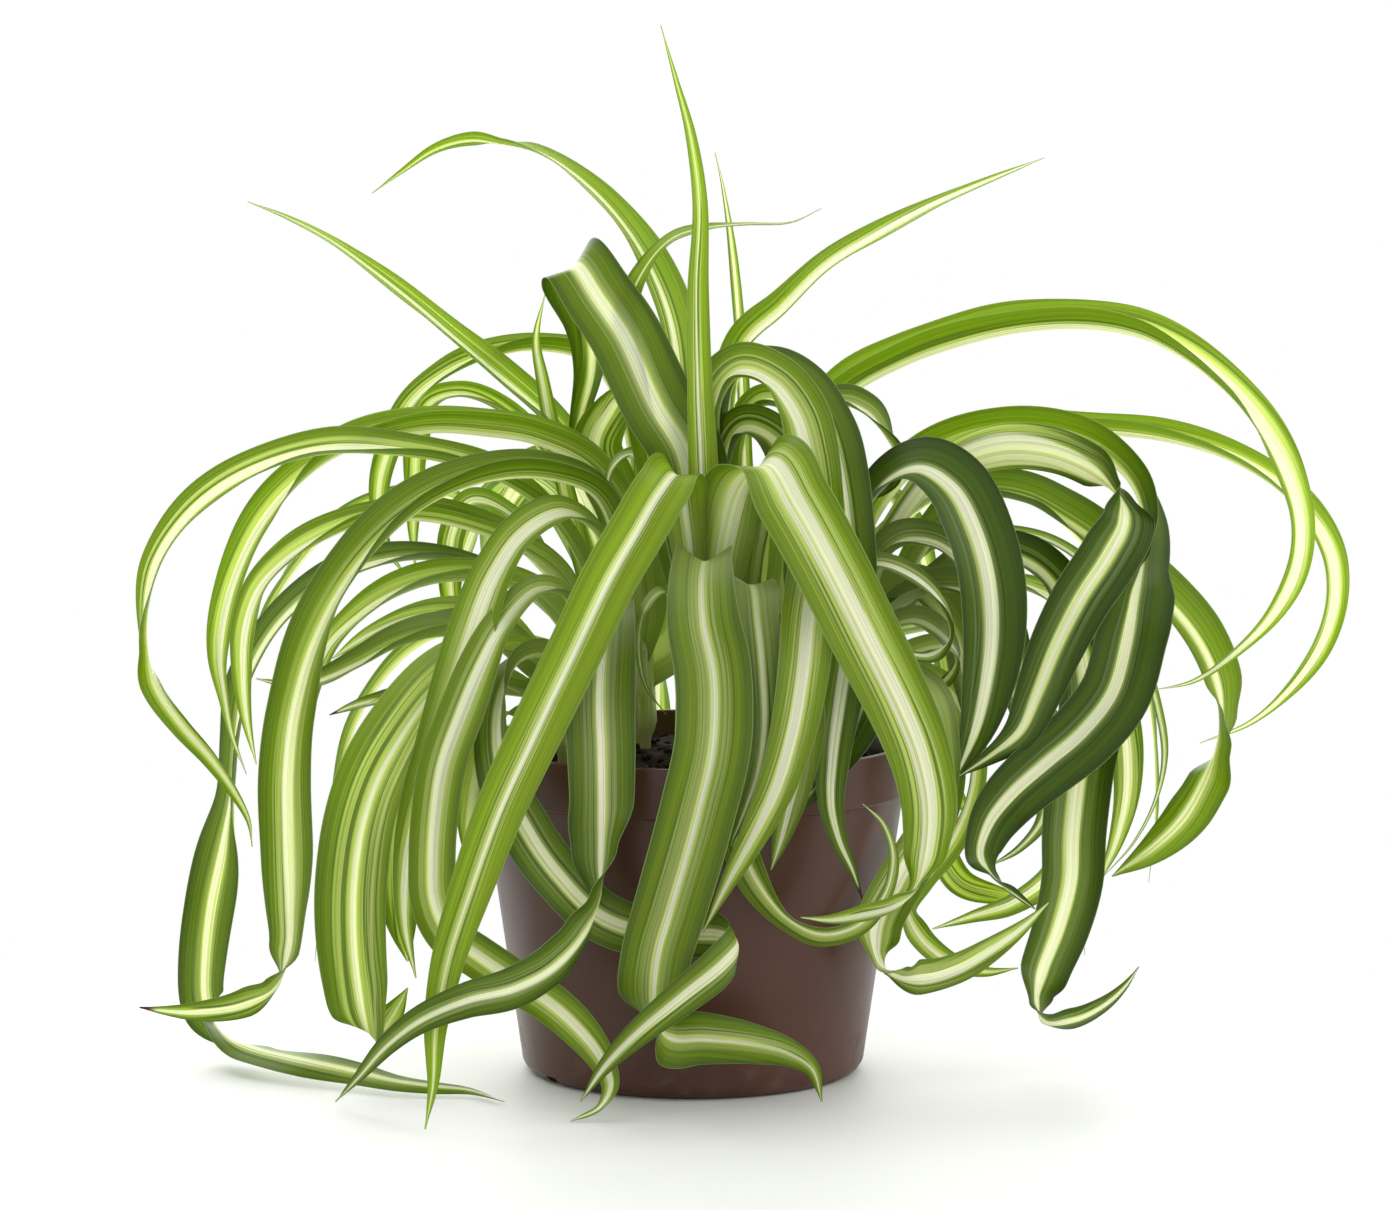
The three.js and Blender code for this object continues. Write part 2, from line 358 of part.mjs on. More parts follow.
        [70, 26.5, 38, -150], [80, 29.5, 33], [90, 35.5, 28, -160], [100, 43, 24], [107, 50, 21]] },
      { name: "low_sweep", width: 12, taper: 6, route: [
        [34, 108, -34, -90], [60, 122, -36], [78, 112, -32, -60], [84, 92, -26], [79, 72, -18, -60],
        [69, 58, -10], [64, 49, -4, -60], [68, 39.5, 0, -30], [77, 32, 2, -20], [88, 28.8, 2],
        [98, 30, 2, -30]] },
      { name: "lime_behind", width: 14, taper: 6, route: [
        [30, 107, -46, -90], [48, 110, -62], [62, 102, -70, -60], [70, 86, -72], [73, 68, -68, -40],
        [80, 56, -64], [92, 52, -60, -20], [104, 50, -56]] },
      { name: "back_fan_right", width: 17, route: [
        [28, 112, -44, -90], [48, 150, -60], [76, 173, -80, -90], [104, 169, -98],
        [125, 146, -110, -90], [136, 114, -118], [139, 80, -122, -90], [137, 56, -124]] },
      { name: "back_fan_middle_right", width: 18, route: [
        [22, 113, -48], [26, 156, -74, 10], [34, 180, -106], [44, 174, -136, 10], [52, 148, -154],
        [56, 112, -162, 170], [58, 78, -164], [58, 58, -165, 175]] },
      { name: "back_middle", width: 17, route: [
        [14, 112, -46], [6, 152, -68, 10], [0, 172, -96], [-6, 160, -122, 10], [-10, 130, -138],
        [-12, 94, -144, 170], [-13, 60, -146], [-13, 38, -147, 175]] },
      { name: "back_low_right", width: 15, route: [
        [32, 109, -42, -90], [56, 130, -62], [82, 132, -80, -90], [102, 112, -92], [112, 82, -98, -90],
        [116, 52, -100], [118, 34, -100, -90]] },
      { name: "centre_back", width: 22, fold: 20, base: 0.8, clasp: 20, route: [
        [24, 112, -42, -30], [26, 148, -52], [28, 172, -64, -30], [33, 180, -80], [39, 168, -94, -20],
        [43, 144, -104], [45, 116, -109, -170]] },
      { name: "back_upper_right", width: 17, route: [
        [26, 111, -42, -60], [34, 146, -60], [45, 170, -82, -60], [57, 173, -104],
        [67, 157, -121, -60], [73, 131, -131], [75, 103, -135, -90]] },
      { name: "back_low_middle", width: 16, route: [
        [17, 109, -46], [13, 132, -66, 10], [9, 141, -88], [6, 124, -106, 10], [4, 96, -115],
        [3, 68, -118, 170]] },
      { name: "low_broad", width: 14, taper: 6, route: [
        [30, 107, -42, -90], [54, 120, -54], [84, 124, -62, -80], [106, 104, -62], [114, 80, -58, -40],
        [108, 60, -50], [96, 50, -44, -40], [84, 46, -40], [72, 42, -36, -40]] },
      { name: "behind_striped", width: 14, taper: 6, route: [
        [33, 109, -31, -90], [56, 134, -36], [84, 147, -40, -80], [108, 141, -42],
        [123, 122, -42, -40], [129, 102, -40], [130, 84, -37, -20], [127, 69, -34], [122, 56, -31]] },
    ],
  },
};

const DEGREE = Math.PI / 180;
const mix = (a, b, k) => a + (b - a) * k;
const smooth = (a, b, x) => {
  const k = Math.min(1, Math.max(0, (x - a) / (b - a)));
  return k * k * (3 - 2 * k);
};

function place([across, up, near]) {
  return new THREE.Vector3(across, 0, up).lerp(EYE, near / -EYE.y);
}

function solid(vertices, triangles) {
  const mesh = new wasm.Mesh({
    numProp: 3,
    vertProperties: new Float32Array(vertices.flat()),
    triVerts: new Uint32Array(triangles.flat()),
  });
  return new wasm.Manifold(mesh);
}

// A closed outline of [radius, height] points, anticlockwise, turned about the Z axis.
function turned(outline, sides, [x, y] = [0, 0], lift = () => 0) {
  const vertices = [];
  const rings = outline.map(([radius, height]) => {
    const count = radius === 0 ? 1 : sides;
    const first = vertices.length;
    for (let i = 0; i < count; i++) {
      const angle = (i / sides) * 2 * Math.PI;
      const px = x + radius * Math.cos(angle);
      const py = y + radius * Math.sin(angle);
      vertices.push([px, py, height + lift(px, py, height)]);
    }
    return { first, count };
  });
  const triangles = [];
  rings.forEach((ring, r) => {
    const next = rings[(r + 1) % rings.length];
    if (ring.count === 1 && next.count === 1) {
      return;
    }
    for (let i = 0; i < sides; i++) {
      const j = (i + 1) % sides;
      const a = ring.first + (ring.count === 1 ? 0 : i);
      const b = ring.first + (ring.count === 1 ? 0 : j);
      const c = next.first + (next.count === 1 ? 0 : j);
      const d = next.first + (next.count === 1 ? 0 : i);
      if (ring.count > 1) {
        triangles.push([a, b, c]);
      }
      if (next.count > 1) {
        triangles.push([a, c, d]);
      }
    }
  });
  return solid(vertices, triangles);
}

function wallRadius(height) {
  const slope = (WALL_TOP_RADIUS - WALL_FOOT_RADIUS) / (BAND_BOTTOM - FOOT_ROUNDING);
  return WALL_FOOT_RADIUS + slope * (height - FOOT_ROUNDING);
}

function footCorner(radius, rounding, bottom) {
  const points = [];
  for (const degrees of [0, 30, 60, 90]) {
    const a = degrees * DEGREE;
    points.push([radius - rounding + rounding * Math.sin(a), bottom + rounding * (1 - Math.cos(a))]);
  }
  return points;
}

function pot() {
  const outside = [
    [0, 0],
    ...footCorner(WALL_FOOT_RADIUS, FOOT_ROUNDING, 0),
    [WALL_TOP_RADIUS, BAND_BOTTOM],
    [BAND_RADIUS - BAND_DRAFT, BAND_BOTTOM],
    [BAND_RADIUS, POT_HEIGHT - RIM_ROUNDING],
    [BAND_RADIUS - RIM_ROUNDING, POT_HEIGHT],
  ];
  const bandInside = BAND_RADIUS - BAND_DRAFT - WALL;
  const inside = [
    [bandInside + BAND_DRAFT, POT_HEIGHT],
    [bandInside, POT_HEIGHT - RIM_ROUNDING],
    [bandInside, BAND_BOTTOM + BAND_STEP],
    [WALL_TOP_RADIUS - WALL, BAND_BOTTOM - BAND_STEP],
    ...footCorner(WALL_FOOT_RADIUS - WALL, INSIDE_ROUNDING, FLOOR).reverse(),
    [0, FLOOR],
  ];
  let body = turned([...outside, ...inside], POT_SIDES);
  for (let i = 0; i < DRAIN_HOLES; i++) {
    const angle = ((i + 0.5) / DRAIN_HOLES) * 2 * Math.PI;
    const at = [DRAIN_CIRCLE * Math.cos(angle), DRAIN_CIRCLE * Math.sin(angle)];
    const r = DRAIN_HOLE_RADIUS;
    const top = FLOOR + CUT_PAST;
    const hole = [[0, -CUT_PAST], [r, -CUT_PAST], [r, top], [0, top]];
    body = body.subtract(turned(hole, DRAIN_HOLE_SIDES, at));
  }
  for (const degrees of SLOT_ANGLES) {
    const slot = wasm.Manifold.cube([SLOT_WIDTH, 2 * FOOT_ROUNDING, SLOT_HEIGHT + CUT_PAST])
      .translate([-SLOT_WIDTH / 2, CUT_PAST - WALL_FOOT_RADIUS - FOOT_ROUNDING, -CUT_PAST])
      .rotate([0, 0, degrees]);
    body = body.subtract(slot);
  }
  return body;
}

function soilLift(x, y, height) {
  if (height < SOIL_TOP) {
    return 0;
  }
  const wave = Math.sin(x * SOIL_WAVES[0] + 0.6) * Math.cos(y * SOIL_WAVES[1]);
  const ripple = Math.sin(x * SOIL_RIPPLE[0] - y * SOIL_RIPPLE[1]);
  return SOIL_SWELL * (wave + ripple / 2);
}

function crownAt({ across, near }) {
  const k = near / -EYE.y;
  return [across * (1 - k), -near];
}

function soil() {
  const inner = (height) => wallRadius(height) - WALL - SEAT;
  const outline = [
    [0, FLOOR + SEAT],
    ...footCorner(WALL_FOOT_RADIUS - WALL - SEAT, INSIDE_ROUNDING, FLOOR + SEAT),
    [inner(BAND_BOTTOM - 2 * BAND_STEP), BAND_BOTTOM - 2 * BAND_STEP],
    [inner(BAND_BOTTOM - BAND_STEP), SOIL_TOP],
    ...SOIL_RINGS.map((radius) => [radius, SOIL_TOP]),
    [0, SOIL_TOP],
  ];
  let body = turned(outline, SOIL_SIDES, [0, 0], soilLift);
  for (const rosette of Object.values(ROSETTES)) {
    const r = CROWN_RADIUS + SEAT;
    const bottom = SOIL_TOP - CROWN_SINK - SEAT;
    const top = SOIL_TOP + 2 * SOIL_SWELL + CUT_PAST;
    const hole = [[0, bottom], [r, bottom], [r, top], [0, top]];
    body = body.subtract(turned(hole, CROWN_SIDES, crownAt(rosette)));
  }
  return body;
}

// The fine course of a leaf: points with tangents and the upper face's direction.
function course(route, rosette, rootHeight) {
  const points = route.map(place);
  points[0] = new THREE.Vector3(...crownAt(rosette), SOIL_TOP + rootHeight);
  const curve = new THREE.CatmullRomCurve3(points, false, "centripetal");
  const fine = [];
  const count = (points.length - 1) * FINE_STEPS;
  for (let i = 0; i <= count; i++) {
    fine.push({ point: curve.getPoint(i / count) });
  }
  fine.forEach((f, i) => {
    const before = fine[Math.max(0, i - 1)].point;
    const after = fine[Math.min(fine.length - 1, i + 1)].point;
    f.tangent = after.clone().sub(before).normalize();
    f.length = i ? fine[i - 1].length + f.point.distanceTo(fine[i - 1].point) : 0;
    const carried = i ? fine[i - 1].carried.clone() : START_FACE.clone();
    f.carried = carried.addScaledVector(f.tangent, -carried.dot(f.tangent)).normalize();
  });
  const turns = [];
  route.forEach((r, k) => {
    if (r.length < 4) {
      return;
    }
    const f = fine[k * FINE_STEPS];
    const toEye = EYE.clone().sub(f.point).normalize();
    const front = toEye.addScaledVector(f.tangent, -toEye.dot(f.tangent)).normalize();
    const side = f.tangent.clone().cross(front);
    const facing = r[3] * DEGREE;
    const face = front.multiplyScalar(Math.cos(facing)).addScaledVector(side, Math.sin(facing));
    const across = f.tangent.clone().cross(f.carried);
    let turn = Math.atan2(face.dot(across), face.dot(f.carried));
    if (turns.length) {
      const last = turns[turns.length - 1].turn;
      turn += 2 * Math.PI * Math.round((last - turn) / (2 * Math.PI));
    }
    turns.push({ at: f.length, turn });
  });
  fine.forEach((f) => {
    let turn = turns[0].turn;
    for (let k = 1; k < turns.length; k++) {
      turn = mix(turn, turns[k].turn, smooth(turns[k - 1].at, turns[k].at, f.length));
    }
    const across = f.tangent.clone().cross(f.carried);
    f.face = f.carried.clone().multiplyScalar(Math.cos(turn)).addScaledVector(across, Math.sin(turn));
  });
  fine.forEach((f, i) => {
    const last = fine[Math.max(0, i - 1)];
    const bend = f.tangent.angleTo(last.tangent) + f.face.angleTo(last.face);
    f.effort = i ? last.effort + f.length - last.length + BEND_WEIGHT * bend : 0;
  });
  return fine;
}

function station(fine, effort) {
  let i = 1;
  while (i < fine.length - 1 && fine[i].effort < effort) {
    i++;
  }
  const a = fine[i - 1];
  const b = fine[i];
  const k = Math.min(1, Math.max(0, (effort - a.effort) / (b.effort - a.effort)));
  const tangent = a.tangent.clone().lerp(b.tangent, k).normalize();
  const face = a.face.clone().lerp(b.face, k);
  face.addScaledVector(tangent, -face.dot(tangent)).normalize();
  const point = a.point.clone().lerp(b.point, k);
  return { point, face, side: tangent.clone().cross(face), length: mix(a.length, b.length, k) };
}

function bladeWidth(width, base, taper, u) {
  const opening = mix(base, 1, smooth(...OPENS, u));
  const closing = 1 - Math.pow(u, taper);
  return Math.max(TIP_WIDTH, width * opening * closing);
}

function bladeFold(clasp, middle, u) {
  const opened = mix(clasp, middle, smooth(...UNFOLDS, u));
  return mix(opened, FOLD_TIP, smooth(...FLATTENS, u)) * DEGREE;
}

// A thin blade with a keel along its middle, split into triangles alike on both faces.
function leaf(entry, rosette, rootHeight) {
  const { width, route, base = BASE_SHARE, clasp = FOLD_BASE, fold = FOLD_MIDDLE, taper = TAPER } = entry;
  const fine = course(route, rosette, rootHeight);
  const last = fine[fine.length - 1];
  const count = Math.max(MIN_STATIONS, Math.round(last.effort / STATION_STEP));
  const vertices = [];
  for (let i = 0; i <= count; i++) {
    const { point, face, side, length } = station(fine, (i / count) * last.effort);
    const u = length / last.length;
    const half = bladeWidth(width, base, taper, u) / 2;
    const halfFold = bladeFold(clasp, fold, u);
    const depth = BLADE / Math.cos(halfFold);
    for (const drop of [0, -depth]) {
      for (const k of [-1, 0, 1]) {
        const out = k * half * Math.cos(halfFold);
        const rise = Math.abs(k) * half * Math.sin(halfFold) + drop + depth / 2;
        vertices.push(point.clone().addScaledVector(side, out).addScaledVector(face, rise).toArray());
      }
    }
  }
  const triangles = [];
  const quad = (a, b, c, d) => triangles.push([a, b, c], [a, c, d]);
  for (let i = 0; i < count; i++) {
    const a = i * 6;
    const b = a + 6;
    quad(a, a + 1, b + 1, b);
    triangles.push([a + 1, a + 2, b + 1], [a + 2, b + 2, b + 1]);
    triangles.push([a + 3, b + 4, a + 4], [a + 3, b + 3, b + 4]);
    triangles.push([a + 4, b + 4, a + 5], [a + 5, b + 4, b + 5]);
    quad(a, b, b + 3, a + 3);
    quad(a + 2, a + 5, b + 5, b + 2);
  }
  const end = count * 6;
  quad(0, 3, 4, 1);
  quad(1, 4, 5, 2);
  quad(end, end + 1, end + 4, end + 3);
  quad(end + 1, end + 2, end + 5, end + 4);
  return solid(vertices, triangles);
}

function crown(rosette) {
  const foot = SOIL_TOP - CROWN_SINK;
  const top = SOIL_TOP + rosette.height;
  const r = CROWN_RADIUS;
  const outline = [
    [0, foot],
    [r, foot],
    [r, SOIL_TOP + CROWN_COLLAR],
    [r * CROWN_SHARES.belly, SOIL_TOP + CROWN_BELLY],
    [r * CROWN_SHARES.shoulder, top - r],
    [r * CROWN_SHARES.top, top - CROWN_DOME],
    [0, top],
  ];
  return turned(outline, CROWN_SIDES, crownAt(rosette));
}

// The largest body of the union: hollows that the joined leaf bases enclose are filled with it.
function rosetteSolid(rosette) {
  const leaves = rosette.leaves.map((one, i) => leaf(one, rosette, ROOT_HEIGHT + i * ROOT_STEP));
  const bodies = wasm.Manifold.union([crown(rosette), ...leaves]).decompose();
  return bodies.reduce((most, body) => (body.volume() > most.volume() ? body : most));
}

function material(color, roughness, metalness = 0) {
  return new THREE.MeshStandardMaterial({ color, roughness, metalness });
}

function meshOf(name, body, look) {
  const { vertProperties, triVerts, numProp } = body.getMesh();
  const geometry = new THREE.BufferGeometry();
  const positions = new Float32Array((vertProperties.length / numProp) * 3);
  for (let i = 0; i < positions.length / 3; i++) {
    positions.set(vertProperties.subarray(i * numProp, i * numProp + 3), i * 3);
  }
  geometry.setAttribute("position", new THREE.BufferAttribute(positions, 3));
  geometry.setIndex(new THREE.BufferAttribute(new Uint32Array(triVerts), 1));
  geometry.computeVertexNormals();
  const mesh = new THREE.Mesh(geometry, look);
  mesh.name = name;
  return mesh;
}

const group = new THREE.Group();
group.name = "potted_spider_plant";
group.add(meshOf("pot", pot(), material(0x4b372d, 0.38)));
group.add(meshOf("soil", soil(), material(0x1e1813, 0.95)));
for (const [name, rosette] of Object.entries(ROSETTES)) {
  group.add(meshOf(`rosette_${name}`, rosetteSolid(rosette), material(0x6e9a1e, 0.45)));
}

export default group;
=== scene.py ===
"""Potted spider plant: cream-striped leaves in five rosettes, in a brown plastic nursery pot.

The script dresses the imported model. The named sizes and the leaf routes are in mm, and the routes are read on
the upright plane through the pot's axis. Meshes and materials are in metres. +Z is up and the camera stands
at -Y.
"""
import math
import random

import bpy
import numpy as np
from mathutils import Matrix, Vector


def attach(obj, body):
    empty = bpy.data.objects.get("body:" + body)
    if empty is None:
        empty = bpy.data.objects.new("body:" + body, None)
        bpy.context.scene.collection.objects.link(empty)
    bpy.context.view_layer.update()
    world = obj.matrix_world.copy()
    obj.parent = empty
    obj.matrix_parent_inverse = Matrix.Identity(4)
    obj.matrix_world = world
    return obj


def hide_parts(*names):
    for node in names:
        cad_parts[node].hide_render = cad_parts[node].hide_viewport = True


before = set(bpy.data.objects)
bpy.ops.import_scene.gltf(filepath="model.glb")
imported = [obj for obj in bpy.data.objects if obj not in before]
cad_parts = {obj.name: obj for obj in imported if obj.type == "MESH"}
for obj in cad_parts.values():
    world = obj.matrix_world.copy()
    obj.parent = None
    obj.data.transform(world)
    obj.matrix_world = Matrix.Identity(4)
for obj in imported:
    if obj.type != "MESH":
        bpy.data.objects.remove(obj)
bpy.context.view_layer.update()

bl_info = {
    "name": "Potted Spider Plant",
    "version": (1, 0, 0),
    "blender": (4, 5, 0),
    "location": "View3D > Sidebar > Spider Plant",
    "description": "Leaves, crowns, soil and nursery pot of a spider plant, with a plain studio stage",
    "category": "Add Mesh",
}

BODY = "root"
MM = 0.001

# The pot, in mm
POT_HEIGHT = 100
BAND_BOTTOM = 85
BAND_RADIUS = 65
WALL_TOP_RADIUS = 63.2
WALL_FOOT_RADIUS = 51.6
FOOT_ROUNDING = 5
RIM_ROUNDING = 0.8
BAND_DRAFT = 0.4
WALL = 1.6
FLOOR = 2
POT_SIDES = 128
DRAIN_HOLES = 6
DRAIN_HOLE_RADIUS = 4
DRAIN_CIRCLE = 28
SLOT_ANGLES = (-56, 80, 192)
SLOT_WIDTH = 5
SLOT_HEIGHT = 2.6

# The soil, in mm
SOIL_TOP = 93
SOIL_GAP = 0.3
SOIL_SIDES = 96
SOIL_RINGS = 44
SOIL_SEED = 7
SOIL_SWELL = 1.2
SOIL_WAVE = 0.16
CRUMBS = 420
SMALLEST_CRUMB = 0.7
LARGEST_CRUMB = 2.0
CRUMB_REACH = 58

# The crowns, in mm
CROWN_RADIUS = 7.5
CROWN_DEPTH = 8
CROWN_SIDES = 40

# The leaves, in mm and degrees. Shares along a leaf count from its base.
EYE = np.array([0.0, -1550.0, 320.0])
START_FACE = np.array([0.0, -1.0, 0.02])
ROOT_HEIGHT = 5
ROOT_STEP = 1.5
FINE_STEPS = 16
BEND_WEIGHT = 17
STATION_STEP = 3.4
MOST_STATIONS = 150
CELLS_ACROSS = 12
BASE_SHARE = 0.5
WIDENS_FROM = 0.05
OPEN_AT = 0.35
FLATTENS = (0.45, 0.95)
TIP_WIDTH = 0.45
TAPER = 4.5
FOLD_BASE = 54
FOLD_MIDDLE = 22
FOLD_TIP = 12
KEEL_ROUND = 0.2
BLADE_THICK = 0.62
MARGIN_SHARE = 0.22
TIP_SHARE = 0.25
THIN_HALF = 2.5
RIPPLE = 0.35
RIPPLE_LENGTH = 46
RIPPLE_STARTS = (0.1, 0.3)
RIPPLE_FULL_HALF = 6
SIDE_PHASE = 1.1

# The pattern across a leaf, in shares of the half blade
STRIPE_SHARE = 0.36
STRIPE_EDGE = 0.015
LIME_EDGE = 0.07
OFF_CENTRE = 0.16
MARGIN_FROM = 0.6
SECOND_STRIPE = (0.045, 0.03)
EDGE_LINE = (0.972, 0.99)

# Its fine lines and veins, per metre, and how strongly they show
LINE_SCALE = 1400.0
VEIN_SCALE = 2400.0
VEIN_SPAN = (-0.6, 0.6)
THREAD = 0.85

# The half widths up to which a tip is plain and from which a blade has all its marks, and the distances from
# the root at which the pale base ends and is full, in mm
PLAIN_HALF = 1.2
MARKED_HALF = 4.5
PALE_BASE = (85, 25)

# The dried tip and the place where a pair of looks changes, in shares of the length
DRY_SHARE = 0.16
DRY_EDGE = 0.008
LOOK_CHANGES = (0.42, 0.62)

# How far the leaves of a rosette differ from each other
SHADE_SPREAD = 0.16
CREAM_SPREAD = 0.12
LEAST_LIME = 0.75
LIME_SPREAD = 0.5

# The camera and the picture, in pixels, mm and degrees, and the width of the floor, in metres
PHOTO_WIDTH = 1392
FOCAL_PIXELS = 5219
AXIS_PIXEL = 693
PIXEL_AT_AXIS = 0.297
CAMERA_TILT = 6.617
SENSOR = 36
STAGE_SIZE = 24

# The lights: place, height of the point they face, width and height, in metres, and share of the key's power
LIGHTS = {
    "key": ((-0.9, 0.35, 1.5), 0.12, (0.9, 0.9), 1.0),
    "side": ((1.3, -0.15, 0.75), 0.15, (0.9, 0.9), 0.6),
    "back": ((-0.2, 1.5, 0.75), 0.15, (2.4, 1.6), 3.6),
    "front_fill": ((0.7, -1.5, 1.1), 0.15, (1.2, 0.8), 0.3),
}


def rgb(red, green, blue):
    """Screen colour, 0 to 255, as scene-linear values."""
    def linear(value):
        value /= 255
        return value / 12.92 if value <= 0.04045 else ((value + 0.055) / 1.055) ** 2.4
    return linear(red), linear(green), linear(blue)


# Tints that multiply or veil a piece's own colour
# SHADED paints shade: it darkens and cools the green of a leaf by its shade value
SHADED = rgb(140, 156, 140)
UNDERSIDE = rgb(200, 216, 156)
LIT_THROUGH = rgb(252, 255, 224)
OLD_SHEATH = rgb(196, 190, 150)
DUST = rgb(150, 132, 116)
FIBRE = rgb(112, 84, 58)


def leaf(name, width, route, base=BASE_SHARE, taper=TAPER, clasp=FOLD_BASE, fold=FOLD_MIDDLE,
         shade=None, cream=None, lime=None, dry=0.0):
    """A leaf: its full width, route points (across, up, near, facing), form and looks."""
    return {"name": name, "width": width, "route": route, "base": base, "taper": taper, "clasp": clasp,
            "fold": fold, "shade": shade, "cream": cream, "lime": lime, "dry": dry}


